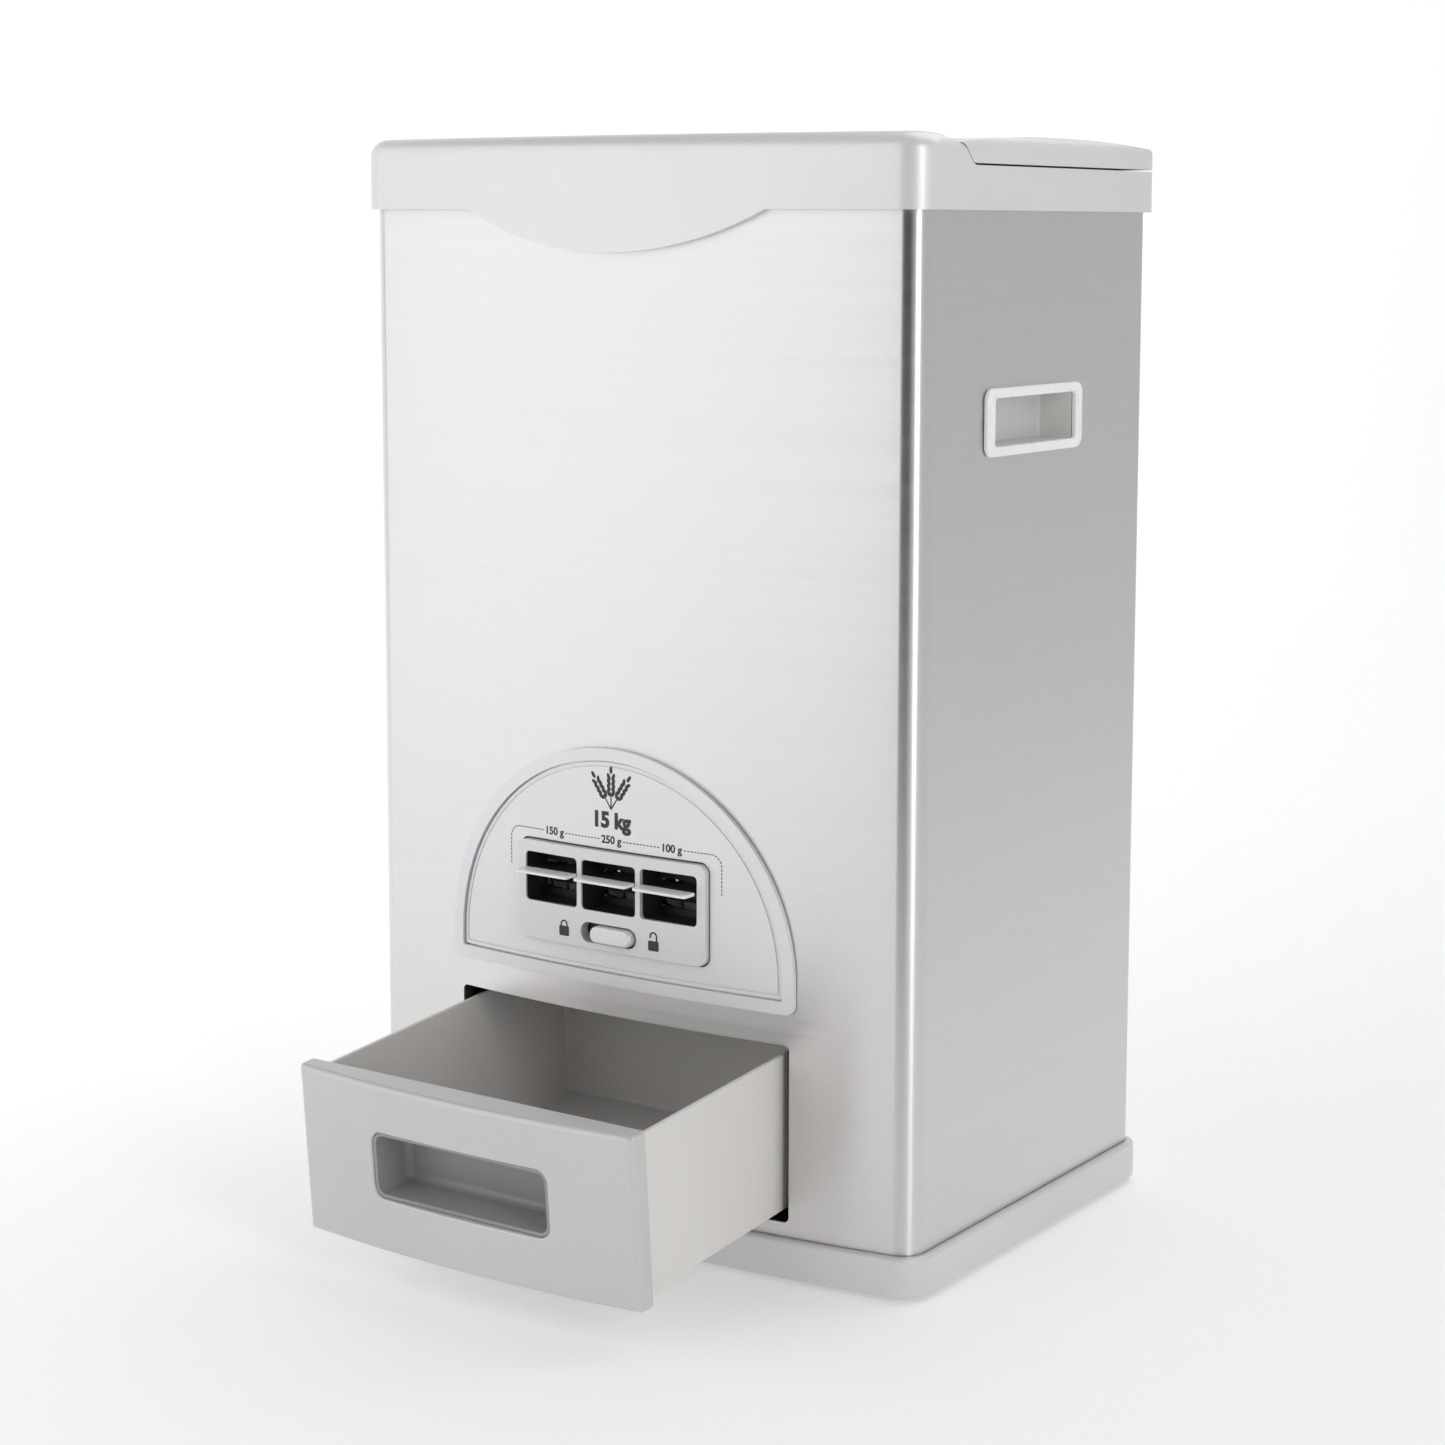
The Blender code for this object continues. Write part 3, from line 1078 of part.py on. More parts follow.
def main():
    """Build every piece and stand the cabinet so that the origin is under its middle."""
    for thing in tuple(bpy.data.objects):
        bpy.data.objects.remove(thing)
    steel = paint("brushed_steel", (0.60, 0.59, 0.57), 0.32, 1.0)
    zinc = paint("zinc_sheet", (0.55, 0.56, 0.57), 0.45, 1.0)
    bright = paint("bright_steel", (0.62, 0.62, 0.62), 0.25, 1.0)
    silver = paint("silver_plastic", (0.68, 0.68, 0.70), 0.38)
    pale = paint("pale_plastic", (0.74, 0.74, 0.75), 0.40)
    white = paint("white_plastic", (0.85, 0.85, 0.86), 0.35)
    beige = paint("drawer_plastic", (0.66, 0.64, 0.61), 0.45)
    clear = paint("hopper_plastic", (0.80, 0.80, 0.78), 0.40)
    dark = paint("dark_plastic", (0.03, 0.03, 0.03), 0.45)
    grey = paint("pocket_plastic", (0.36, 0.36, 0.35), 0.45)
    rubber = paint("grey_rubber", (0.55, 0.55, 0.55), 0.8)
    make_base(pale, rubber)
    make_body(steel, zinc, bright)
    make_collar(silver, bright)
    make_lid(silver, rubber)
    make_handles(white, grey)
    make_hopper(clear)
    ear = make_housing(clear)
    make_shaft(bright, ear)
    make_levers(white, bright)
    make_fascia(silver, silver)
    make_module(silver, dark)
    make_lock(silver, dark)
    make_trim(dark)
    make_drawer(beige, silver, grey, bright)
    make_runners(clear)
    floor_centre = pivot_at("floor_centre", (0, -(front_most() + REAR_MOST) / 2, 0))
    for thing in tuple(parts.objects) + tuple(cutters.objects):
        if thing.parent is None and thing is not floor_centre:
            thing.parent = floor_centre
    for collection in (parts, cutters):
        bpy.context.scene.collection.children.link(collection)


main()
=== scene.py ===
"""Looks of the grain dispenser.

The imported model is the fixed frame.  Each visible node is made again here with fine outlines, rounded
edges and a worked finish, and rides on the body of the node it stands for.  Sizes are in metres; the
front faces -Y and the floor is at Z = 0.
"""

import json
import math

import bmesh
import bpy
from mathutils import Matrix, Vector


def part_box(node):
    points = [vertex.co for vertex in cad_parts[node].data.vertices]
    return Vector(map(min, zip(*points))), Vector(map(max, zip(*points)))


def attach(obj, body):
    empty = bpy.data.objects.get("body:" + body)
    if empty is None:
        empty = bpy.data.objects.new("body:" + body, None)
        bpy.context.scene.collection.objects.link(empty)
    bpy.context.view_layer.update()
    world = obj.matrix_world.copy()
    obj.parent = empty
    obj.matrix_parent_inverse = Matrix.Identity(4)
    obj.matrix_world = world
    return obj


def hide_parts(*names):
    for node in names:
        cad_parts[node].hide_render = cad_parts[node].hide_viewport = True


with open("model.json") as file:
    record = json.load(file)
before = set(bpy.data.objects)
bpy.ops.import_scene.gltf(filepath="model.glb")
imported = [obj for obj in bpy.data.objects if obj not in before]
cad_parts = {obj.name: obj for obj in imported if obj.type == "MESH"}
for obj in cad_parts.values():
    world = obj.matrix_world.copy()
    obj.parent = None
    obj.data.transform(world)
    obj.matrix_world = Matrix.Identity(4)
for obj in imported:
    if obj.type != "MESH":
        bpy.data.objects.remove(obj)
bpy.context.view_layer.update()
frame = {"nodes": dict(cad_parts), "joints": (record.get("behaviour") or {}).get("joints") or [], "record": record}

# ---------------------------------------------------------------- sizes

GAP = 0.0003                 # between pieces that touch
SHEET = 0.0012               # steel sheet
BOW = 0.0165                 # the front's middle ahead of its corners
CORNER = 0.014
REAR_CORNER = 0.008
LEAST_CORNER = 0.002
PROUD = 0.0046               # plinth and collar outside the steel
COLLAR_BOTTOM = 0.5576
SEAM = 0.5800
SEAM_GAP = 0.0010
BAR_REAR = 0.028             # front bar's rear top edge, behind the front corners
BAR_SLOPE = 0.016
BAR_DROP = 0.005
DECK = 0.007
APRON_WIDTH = 0.193
MOUTH_WIDTH = 0.306
RIM_WIDTH = 0.0068
CUTOUT_MARGIN = 0.013
PLATE_PROUD = 0.0013
MODULE_PROUD = 0.0046
MODULE_GROOVE = 0.0009       # dark line round the module
MODULE_FACE = 0.0013         # module's wall in front of the dark sleeves
SLEEVE_WALL = 0.0009
WINDOW_WIDTH = 0.036
WINDOW_LOW = 0.1845
WINDOW_HIGH = 0.2115
TAB_THICKNESS = 0.0018
TAB_LENGTH = 0.0100
DOSES = ("150", "250", "100")

OVERCUT = 0.01               # how far a cutting solid runs past its piece
NICK = 0.001                 # the same where there is less room
REACH = 0.05                 # how far one runs to each side of the front or the rear
SAME = 0.00001               # closer than this is the same level
WELD = 0.000001              # closer than this is the same point
FLAT_ANGLE = math.radians(0.02)

BODY_LOW, BODY_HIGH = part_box("body_shell")
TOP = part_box("top_collar")[1].z
WIDTH = BODY_HIGH.x - BODY_LOW.x
FRONT, REAR = BODY_LOW.y, BODY_HIGH.y
CORNER_LINE = FRONT + BOW
FRONT_RADIUS = (WIDTH ** 2 / 4 + BOW ** 2) / (2 * BOW)
ARC_Y = FRONT + FRONT_RADIUS

JOINTS = {joint["name"]: joint for joint in frame["joints"]}
SLIDE = JOINTS["drawer_slide"]["axis"]
FALL = math.atan2(SLIDE[2], SLIDE[1])


def front_y(x, outset=0.0):
    """Y of the bowed front at x, moved out by outset."""
    return ARC_Y - math.sqrt((FRONT_RADIUS + outset) ** 2 - x ** 2)


# ---------------------------------------------------------------- outlines

def arc(centre, radius, start, end, segments):
    """Points of an arc, both ends included; angles in degrees."""
    points = []
    for index in range(segments + 1):
        angle = math.radians(start + (end - start) * index / segments)
        points.append((centre[0] + radius * math.cos(angle), centre[1] + radius * math.sin(angle)))
    return points


def plan(outset, front_segments=56, corner_segments=12):
    """Cabinet's outline from above, moved out by outset, counter-clockwise."""
    half = WIDTH / 2 + outset
    front = max(CORNER + outset, LEAST_CORNER)
    rear = max(REAR_CORNER + outset, LEAST_CORNER)
    centre_x = half - front
    reach = FRONT_RADIUS + outset - front
    centre_y = ARC_Y - math.sqrt(reach ** 2 - centre_x ** 2)
    lean = math.degrees(math.asin(centre_x / reach))
    back = REAR + outset - rear
    points = arc((-centre_x, centre_y), front, 180, 270 - lean, corner_segments)
    points += arc((0, ARC_Y), FRONT_RADIUS + outset, 270 - lean, 270 + lean, front_segments)[1:-1]
    points += arc((centre_x, centre_y), front, 270 + lean, 360, corner_segments)
    points += arc((half - rear, back), rear, 0, 90, corner_segments)
    points += arc((rear - half, back), rear, 90, 180, corner_segments)
    return points


def front_strip(inner, outer, half, segments=48):
    """Outline from above of a strip along the bowed front, between two outsets."""
    points = []
    for outset, turn in ((outer, 1), (inner, -1)):
        lean = turn * math.degrees(math.asin(half / (FRONT_RADIUS + outset)))
        points += arc((0, ARC_Y), FRONT_RADIUS + outset, 270 - lean, 270 + lean, segments)
    return points


def rounded_box(left, bottom, right, top, radius, segments=8):
    """Rectangle with round corners."""
    if radius <= 0:
        return [(left, bottom), (right, bottom), (right, top), (left, top)]
    points = arc((right - radius, bottom + radius), radius, 270, 360, segments)
    points += arc((right - radius, top - radius), radius, 0, 90, segments)
    points += arc((left + radius, top - radius), radius, 90, 180, segments)
    return points + arc((left + radius, bottom + radius), radius, 180, 270, segments)


def centred(x, z, width, height, radius, segments=8):
    """Rounded rectangle about a centre."""
    return rounded_box(x - width / 2, z - height / 2, x + width / 2, z + height / 2, radius, segments)


# ---------------------------------------------------------------- solids

AXES = {
    "X": Matrix(((0, 0, 1, 0), (1, 0, 0, 0), (0, 1, 0, 0), (0, 0, 0, 1))),
    "Y": Matrix(((1, 0, 0, 0), (0, 0, -1, 0), (0, 1, 0, 0), (0, 0, 0, 1))),
    "Z": Matrix.Identity(4),
}


def add(name, mesh):
    """New object of a mesh."""
    piece = bpy.data.objects.new(name, mesh)
    bpy.context.scene.collection.objects.link(piece)
    return piece


def from_work(name, work):
    """New object of a bmesh, faced outwards."""
    bmesh.ops.recalc_face_normals(work, faces=work.faces)
    mesh = bpy.data.meshes.new(name)
    work.to_mesh(mesh)
    work.free()
    return add(name, mesh)


def prism(name, outline, low, high, axis="Z"):
    """Solid of one flat outline, from low to high along an axis."""
    work = bmesh.new()
    rings = [[work.verts.new((u, v, w)) for u, v in outline] for w in (low, high)]
    count = len(outline)
    for index in range(count):
        after = (index + 1) % count
        work.faces.new((rings[0][index], rings[0][after], rings[1][after], rings[1][index]))
    work.faces.new(rings[0][::-1])
    work.faces.new(rings[1])
    mirror = Matrix.Diagonal((1, 1, -1, 1)) if axis == "Y" else Matrix.Identity(4)
    work.transform(AXES[axis] @ mirror)
    bmesh.ops.remove_doubles(work, verts=work.verts, dist=WELD)
    return from_work(name, work)


def block(name, low, high):
    """Box between two corners."""
    work = bmesh.new()
    size = Vector(high) - Vector(low)
    place = Matrix.Translation((Vector(high) + Vector(low)) / 2) @ Matrix.Diagonal((*size, 1))
    bmesh.ops.create_cube(work, size=1, matrix=place)
    return from_work(name, work)


def rod(name, centre, radius, length, axis="X", sides=32):
    """Cylinder about a centre, along an axis."""
    work = bmesh.new()
    place = Matrix.Translation(centre) @ AXES[axis]
    bmesh.ops.create_cone(
        work, cap_ends=True, segments=sides, radius1=radius, radius2=radius, depth=length, matrix=place
    )
    return from_work(name, work)


def settle(piece):
    """Turn a piece's modifiers into its mesh."""
    view = bpy.context.evaluated_depsgraph_get()
    mesh = bpy.data.meshes.new_from_object(piece.evaluated_get(view))
    piece.modifiers.clear()
    piece.data = mesh
    return piece


def carve(piece, *tools, operation="DIFFERENCE"):
    """Boolean of a piece with tools, which are used up."""
    for tool in tools:
        change = piece.modifiers.new("carve", "BOOLEAN")
        change.operation = operation
        change.solver = "EXACT"
        change.object = tool
        settle(piece)
        bpy.data.objects.remove(tool)
    return piece


def clean(piece, merge=0.000004):
    """Weld a carved piece's doubles and join its flat faces."""
    work = bmesh.new()
    work.from_mesh(piece.data)
    bmesh.ops.remove_doubles(work, verts=work.verts, dist=merge)
    bmesh.ops.dissolve_limit(work, angle_limit=FLAT_ANGLE, verts=work.verts, edges=work.edges)
    work.to_mesh(piece.data)
    work.free()
    return piece


def round_all(piece, width, segments=3, angle=40):
    """Round every edge sharper than an angle."""
    clean(piece)
    change = piece.modifiers.new("round", "BEVEL")
    change.width = width
    change.segments = segments
    change.limit_method = "ANGLE"
    change.angle_limit = math.radians(angle)
    change.use_clamp_overlap = True
    change.miter_outer = "MITER_ARC"
    return settle(piece)


def soften(piece, chosen, width, segments=6):
    """Round the edges whose two ends both pass a test."""
    work = bmesh.new()
    work.from_mesh(piece.data)
    edges = [edge for edge in work.edges if all(chosen(vert.co) for vert in edge.verts)]
    bmesh.ops.bevel(
        work, geom=edges, offset=width, segments=segments, profile=0.5, affect="EDGES", clamp_overlap=True
    )
    bmesh.ops.recalc_face_normals(work, faces=work.faces)
    work.to_mesh(piece.data)
    work.free()
    return piece


def near(value, level):
    """Whether a value is at a level."""
    return abs(value - level) < SAME


def dress(piece, finish, sharp=32):
    """Give a piece its finish and smooth its round faces."""
    piece.data.materials.clear()
    piece.data.materials.append(finish)
    piece.data.shade_smooth()
    piece.data.set_sharp_from_angle(angle=math.radians(sharp))
    weigh = piece.modifiers.new("weigh", "WEIGHTED_NORMAL")
    weigh.keep_sharp = True
    return settle(piece)


def stand_for(piece, body, slot, *nodes):
    """Let a piece ride on a body in place of its nodes."""
    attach(piece, body)
    if nodes:
        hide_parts(*nodes)
    return piece


# ---------------------------------------------------------------- finishes

NOISE_LOW, NOISE_HIGH = 0.3, 0.7   # most of a noise lies between these
GRAIN_SHADE = 0.95                 # darkest streak of a metal, as a share of its colour
BROAD_GRAIN = 12                   # how much broader the uneven sheen is than the grain
MOTTLE = 0.03                      # how much darker a plastic's clouds are
METAL_SHEEN = (0.02, 0.03)         # roughness below and above a metal's own
PLASTIC_SHEEN = (0.015, 0.02)
CLOUD_SCALE = (9, 9, 9)
HAZE_SCALE = (60, 60, 60)


def wire(tree, *rows):
    """Join nodes: each row is a node, its output, the next node and that one's input."""
    for source, output, target, entry in rows:
        tree.links.new(source.outputs[output], target.inputs[entry])


def new_finish(name, colour, roughness, metallic=0.0):
    """New material and its shader."""
    finish = bpy.data.materials.new(name)
    finish.use_nodes = True
    shader = finish.node_tree.nodes["Principled BSDF"]
    shader.inputs["Base Color"].default_value = (*colour, 1)
    shader.inputs["Roughness"].default_value = roughness
    shader.inputs["Metallic"].default_value = metallic
    return finish, shader


def pattern(finish, stretch, detail=3.0, rough=0.55):
    """Noise on object coordinates, stretched along each axis; gives its factor."""
    nodes = finish.node_tree.nodes
    place = nodes.new("ShaderNodeTexCoord")
    scale = nodes.new("ShaderNodeMapping")
    scale.inputs["Scale"].default_value = stretch
    noise = nodes.new("ShaderNodeTexNoise")
    noise.inputs["Scale"].default_value = 1.0
    noise.inputs["Detail"].default_value = detail
    noise.inputs["Roughness"].default_value = rough
    wire(finish.node_tree, (place, "Object", scale, "Vector"), (scale, "Vector", noise, "Vector"))
    return noise.outputs["Fac"]


def tint(finish, shader, factor, dark, light):
    """Colour that runs from dark to light with a factor."""
    ramp = finish.node_tree.nodes.new("ShaderNodeValToRGB")
    ramp.color_ramp.elements[0].position = NOISE_LOW
    ramp.color_ramp.elements[0].color = (*dark, 1)
    ramp.color_ramp.elements[1].position = NOISE_HIGH
    ramp.color_ramp.elements[1].color = (*light, 1)
    finish.node_tree.links.new(factor, ramp.inputs["Fac"])
    finish.node_tree.links.new(ramp.outputs["Color"], shader.inputs["Base Color"])


def spread(finish, shader, factor, low, high):
    """Roughness that runs from low to high with a factor."""
    scale = finish.node_tree.nodes.new("ShaderNodeMapRange")
    scale.inputs["From Min"].default_value = NOISE_LOW
    scale.inputs["From Max"].default_value = NOISE_HIGH
    scale.inputs["To Min"].default_value = low
    scale.inputs["To Max"].default_value = high
    finish.node_tree.links.new(factor, scale.inputs["Value"])
    finish.node_tree.links.new(scale.outputs["Result"], shader.inputs["Roughness"])


def relief(finish, shader, factor, depth):
    """Fine bump from a factor, depth in metres."""
    bump = finish.node_tree.nodes.new("ShaderNodeBump")
    bump.inputs["Strength"].default_value = 1.0
    bump.inputs["Distance"].default_value = depth
    finish.node_tree.links.new(factor, bump.inputs["Height"])
    finish.node_tree.links.new(bump.outputs["Normal"], shader.inputs["Normal"])


def brushed(name, colour, roughness, stretch, depth):
    """Metal with a fine grain: streaks in colour, roughness and relief."""
    finish, shader = new_finish(name, colour, roughness, 1.0)
    shader.inputs["Anisotropic"].default_value = 0.75
    shader.inputs["Anisotropic Rotation"].default_value = 0.25
    tangent = finish.node_tree.nodes.new("ShaderNodeTangent")
    tangent.direction_type = "RADIAL"
    tangent.axis = "Z"
    finish.node_tree.links.new(tangent.outputs["Tangent"], shader.inputs["Tangent"])
    grain = pattern(finish, stretch, detail=4.0, rough=0.7)
    dark = tuple(part * GRAIN_SHADE for part in colour)
    tint(finish, shader, grain, dark, colour)
    broad = pattern(finish, tuple(part / BROAD_GRAIN for part in stretch), detail=2.0)
    spread(finish, shader, broad, roughness - METAL_SHEEN[0], roughness + METAL_SHEEN[1])
    relief(finish, shader, grain, depth)
    return finish


def moulded(name, colour, roughness, metallic=0.0, grain=2200.0, depth=0.000012):
    """Moulded plastic: faint mottling, uneven sheen and a fine pebble."""
    finish, shader = new_finish(name, colour, roughness, metallic)
    cloud = pattern(finish, CLOUD_SCALE, detail=2.0)
    dark = tuple(part * (1 - MOTTLE) for part in colour)
    light = tuple(min(1.0, part * (1 + MOTTLE / 2)) for part in colour)
    tint(finish, shader, cloud, dark, light)
    haze = pattern(finish, HAZE_SCALE)
    spread(finish, shader, haze, roughness - PLASTIC_SHEEN[0], roughness + PLASTIC_SHEEN[1])
    pebble = pattern(finish, (grain, grain, grain), detail=2.0)
    relief(finish, shader, pebble, depth)
    return finish


STEEL = brushed(
    "brushed_steel", (0.70, 0.685, 0.68), roughness=0.30, stretch=(14, 14, 2200), depth=0.000014
)
ZINC = brushed("zinc_sheet", (0.55, 0.56, 0.57), roughness=0.42, stretch=(40, 40, 160), depth=0.000010)
BRIGHT = brushed("bright_steel", (0.66, 0.66, 0.66), roughness=0.24, stretch=(900, 900, 900), depth=0.000006)
SILVER = moulded("silver_plastic", (0.77, 0.77, 0.79), roughness=0.34, metallic=0.25)
PALE = moulded("pale_plastic", (0.66, 0.66, 0.675), roughness=0.36, metallic=0.15)
MODULE_SILVER = moulded("module_plastic", (0.70, 0.70, 0.715), roughness=0.34, metallic=0.25)
# silver plastic made darker for the drawer front: painted shade, as the front is the same plastic as the collar
SHADED_FRONT_SILVER = moulded("drawer_front_plastic_painted_shade", (0.60, 0.60, 0.61), roughness=0.34, metallic=0.25)
WHITE = moulded("white_plastic", (0.92, 0.92, 0.925), roughness=0.28)
BEIGE = moulded("drawer_plastic", (0.74, 0.72, 0.70), roughness=0.42)
NATURAL = moulded("hopper_plastic", (0.80, 0.80, 0.77), roughness=0.40)
DARK = moulded("dark_plastic", (0.022, 0.021, 0.021), roughness=0.38)
GREY = moulded("pocket_plastic", (0.72, 0.715, 0.70), roughness=0.40)
# pocket plastic made darker for the drawer's sunk grip: painted shade in the recess
SHADED_GRIP_GREY = moulded("grip_plastic_painted_shade", (0.33, 0.325, 0.325), roughness=0.36)
RUBBER = moulded("grey_rubber", (0.50, 0.50, 0.50), roughness=0.75, grain=900.0, depth=0.00004)
INK = moulded("dark_ink", (0.03, 0.03, 0.032), roughness=0.5)

FINISHES = {
    "brushed_steel": STEEL,
    "zinc_sheet": ZINC,
    "bright_steel": BRIGHT,
    "silver_plastic": SILVER,
    "pale_plastic": PALE,
    "white_plastic": WHITE,
    "drawer_plastic": BEIGE,
    "hopper_plastic": NATURAL,
    "dark_plastic": DARK,
    "pocket_plastic": GREY,
    "grey_rubber": RUBBER,
}


# ---------------------------------------------------------------- cabinet

FASCIA_CORNER = 0.005        # half-moon's two lower corners
LEAST_FASCIA_CORNER = 0.0015
TRIM_WALL = 0.004            # opening trim's wall round the drawer's opening
TRIM_CORNER = 0.003
POCKET_CORNER = 0.003
POCKET_WALL = 0.0014
HOLE_CORNER = 0.0034         # bezel's opening, before the wall is taken off
POCKET_FLOOR_ROUND = 0.0020
BEZEL_CORNER = 0.006
BEZEL_FACE_ROUND = 0.0013
BEZEL_EDGE = 0.0006
FOOT_EDGE = 0.0008

SCREW_HEAD = 0.0040          # radius of a pan head
SCREW_HEIGHT = 0.0022
SCREW_DOME = 0.0014
CROSS_FLOOR = 0.0010
CROSS_REACH = 0.0021
CROSS_HALF = 0.00045
SHANK = 0.0015
SHANK_LENGTH = 0.0060
SHANK_MIDDLE = -0.0028
TURN_SEED = 3

PANEL_LAP = 0.020            # rear panel over the steel, above and below
PANEL_SIDE_LAP = 0.018
PANEL_WINDOW_CORNER = 0.006
SHEET_EDGE = 0.00025

PLINTH_TOP_EDGE = 0.0022
PLINTH_FOOT_EDGE = 0.0010
PLINTH_FLOOR = 0.003
PLINTH_WALL = 0.0065         # from the steel's outside to the plinth's hollow
STEP_REACH = 0.0006          # thin step under the steel
STEP_DEPTH = 0.0007

KNUCKLE = 0.0045             # radius of a hinge knuckle
KNUCKLE_OVERLAP = 0.0016
PIN_BORE = 0.002
WEB_HEIGHT = 0.006
EAR_REACH = 0.0013           # collar's hinge webs, behind the steel
EYE_REACH = 0.0003           # lid's hinge webs, behind the steel

BAR_EDGE = 0.010             # collar's soft upper edge
CROWN_SETBACK = 0.001        # where the bar's top starts to fall
CROWN_RISE = 0.0001
CROWN_STEPS = 10
MOUTH_SETBACK = 0.051        # from the front corners to the mouth
MOUTH_REAR_WALL = 0.017
MOUTH_CORNER = 0.012
BAR_ROOM_FRONT = 0.007
BAR_ROOM_WALL = 0.003
BAR_ROOM_ROOF = 0.004
BAR_ROOM_CORNER = 0.008
BELOW_COLLAR = 0.4           # level well below the collar and the lid
BELOW_MOUTH = 0.5
FINE_EDGE = 0.0005

LID_EDGE = 0.0075
LID_DOME = 0.005
DOME_STEPS = 40
SEAL_CORNER = 0.008
SEAL_ROOM = 0.0005


def arch(inset, segments=96):
    """Half-moon outline of the fascia in X and Z, moved in by inset."""
    low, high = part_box("fascia_rim")
    half = high.x - inset
    bottom = low.z + inset
    spring = high.z - high.x
    corner = max(FASCIA_CORNER - inset / 2, LEAST_FASCIA_CORNER)
    points = arc((corner - half, bottom + corner), corner, 180, 270, segments=6)
    points += arc((half - corner, bottom + corner), corner, 270, 360, segments=6)
    return points + arc((0, spring), half, 0, 180, segments)


def opening_outline(margin=0.0):
    """Outline of the drawer's opening in X and Z, moved out by margin."""
    low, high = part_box("opening_trim")
    wall = TRIM_WALL - margin
    corner = TRIM_CORNER + margin
    return rounded_box(low.x + wall, low.z + wall, high.x - wall, high.z - wall, corner, segments=6)


def pocket_outline(margin=0.0, corner=POCKET_CORNER):
    """Outline of a side handle's pocket in Y and Z, moved out by margin."""
    low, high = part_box("handle_pocket_right")
    ends = (low.y - margin, low.z - margin, high.y + margin, high.z + margin)
    return rounded_box(*ends, corner + margin, segments=6)


def make_feet():
    """Round feet with soft lower edges."""
    for row in ("front", "rear"):
        for hand in ("left", "right"):
            name = f"foot_{row}_{hand}"
            low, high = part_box(name)
            centre = (low + high) / 2
            foot = rod(f"round_{name}", centre, (high.x - low.x) / 2, high.z - low.z, "Z", sides=48)
            soften(foot, lambda point: near(point.z, low.z), FOOT_EDGE, segments=4)
            dress(foot, RUBBER)
            stand_for(foot, "cabinet", "grey_rubber", name)


def screw_template():
    """Pan-head screw with a cross recess, its head's seat at the origin and its axis along +Y."""
    head = rod("screw_head", (0, SCREW_HEIGHT / 2, 0), SCREW_HEAD, SCREW_HEIGHT, "Y")
    soften(head, lambda point: near(point.y, SCREW_HEIGHT), SCREW_DOME, segments=5)
    for turn in (0, 90):
        low = (-CROSS_REACH, CROSS_FLOOR, -CROSS_HALF)
        bar = block("bar", low, (CROSS_REACH, 2 * SCREW_HEIGHT, CROSS_HALF))
        bar.data.transform(Matrix.Rotation(math.radians(turn), 4, "Y"))
        carve(head, bar)
    shank = rod("shank", (0, SHANK_MIDDLE, 0), SHANK, SHANK_LENGTH, "Y", sides=16)
    carve(head, shank, operation="UNION")
    return head


def screw_tree(template):
    """Geometry nodes that set a screw on each point, each turned by its own angle."""
    tree = bpy.data.node_groups.new("screw_row", "GeometryNodeTree")
    face = tree.interface
    face.new_socket("Seats", in_out="INPUT", socket_type="NodeSocketGeometry")
    face.new_socket("Screw Scale", in_out="INPUT", socket_type="NodeSocketFloat")
    face.new_socket("Turn Seed", in_out="INPUT", socket_type="NodeSocketInt")
    face.new_socket("Screws", in_out="OUTPUT", socket_type="NodeSocketGeometry")
    nodes = tree.nodes
    start = nodes.new("NodeGroupInput")
    end = nodes.new("NodeGroupOutput")
    screw = nodes.new("GeometryNodeObjectInfo")
    screw.inputs["Object"].default_value = template
    angle = nodes.new("FunctionNodeRandomValue")
    angle.data_type = "FLOAT_VECTOR"
    angle.inputs["Min"].default_value = (0, 0, 0)
    angle.inputs["Max"].default_value = (0, math.pi, 0)
    place = nodes.new("GeometryNodeInstanceOnPoints")
    real = nodes.new("GeometryNodeRealizeInstances")
    paint = nodes.new("GeometryNodeSetMaterial")
    paint.inputs["Material"].default_value = BRIGHT
    wire(
        tree,
        (start, "Turn Seed", angle, "Seed"),
        (start, "Seats", place, "Points"),
        (start, "Screw Scale", place, "Scale"),
        (screw, "Geometry", place, "Instance"),
        (angle, "Value", place, "Rotation"),
        (place, "Instances", real, "Geometry"),
        (real, "Geometry", paint, "Geometry"),
        (paint, "Geometry", end, "Screws"),
    )
    return tree


def make_rear_screws():
    """Rear panel's four screws, set on the panel by geometry nodes."""
    names = [f"rear_screw_{index}" for index in range(1, 5)]
    seats = []
    for name in names:
        low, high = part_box(name)
        seats.append(((low.x + high.x) / 2, high.y - SCREW_HEIGHT, (low.z + high.z) / 2))
    mesh = bpy.data.meshes.new("panel_screws")
    mesh.from_pydata(seats, [], [])
    screws = add("panel_screws", mesh)
    template = screw_template()
    change = screws.modifiers.new("screws", "NODES")
    change.node_group = screw_tree(template)
    set_inputs(change, {"Screw Scale": 1.0, "Turn Seed": TURN_SEED})
    settle(screws)
    bpy.data.objects.remove(template)
    dress(screws, BRIGHT)
    stand_for(screws, "cabinet", "bright_steel", *names)


def make_body():
    """Wrapped steel sheet with its openings."""
    low, high = BODY_LOW.z, BODY_HIGH.z
    body = prism("steel_body", plan(0.0), low, high)
    carve(body, prism("inside", plan(-SHEET), low - OVERCUT, high + OVERCUT))
    carve(body, prism("opening", opening_outline(), FRONT - REACH, FRONT + REACH, "Y"))
    carve(body, prism("cutout", arch(CUTOUT_MARGIN), FRONT - REACH, FRONT + REACH, "Y"))
    carve(body, prism("handles", pocket_outline(POCKET_WALL), -WIDTH, WIDTH, "X"))
    panel_low, panel_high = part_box("rear_panel")
    side = panel_high.x - PANEL_SIDE_LAP
    bottom, top = panel_low.z + PANEL_LAP, panel_high.z - PANEL_LAP
    window = rounded_box(-side, bottom, side, top, PANEL_WINDOW_CORNER)
    carve(body, prism("window", window, REAR - REACH, REAR + REACH, "Y"))
    round_all(body, SHEET_EDGE, segments=2, angle=50)
    dress(body, STEEL)
    stand_for(body, "cabinet", "brushed_steel", "body_shell")


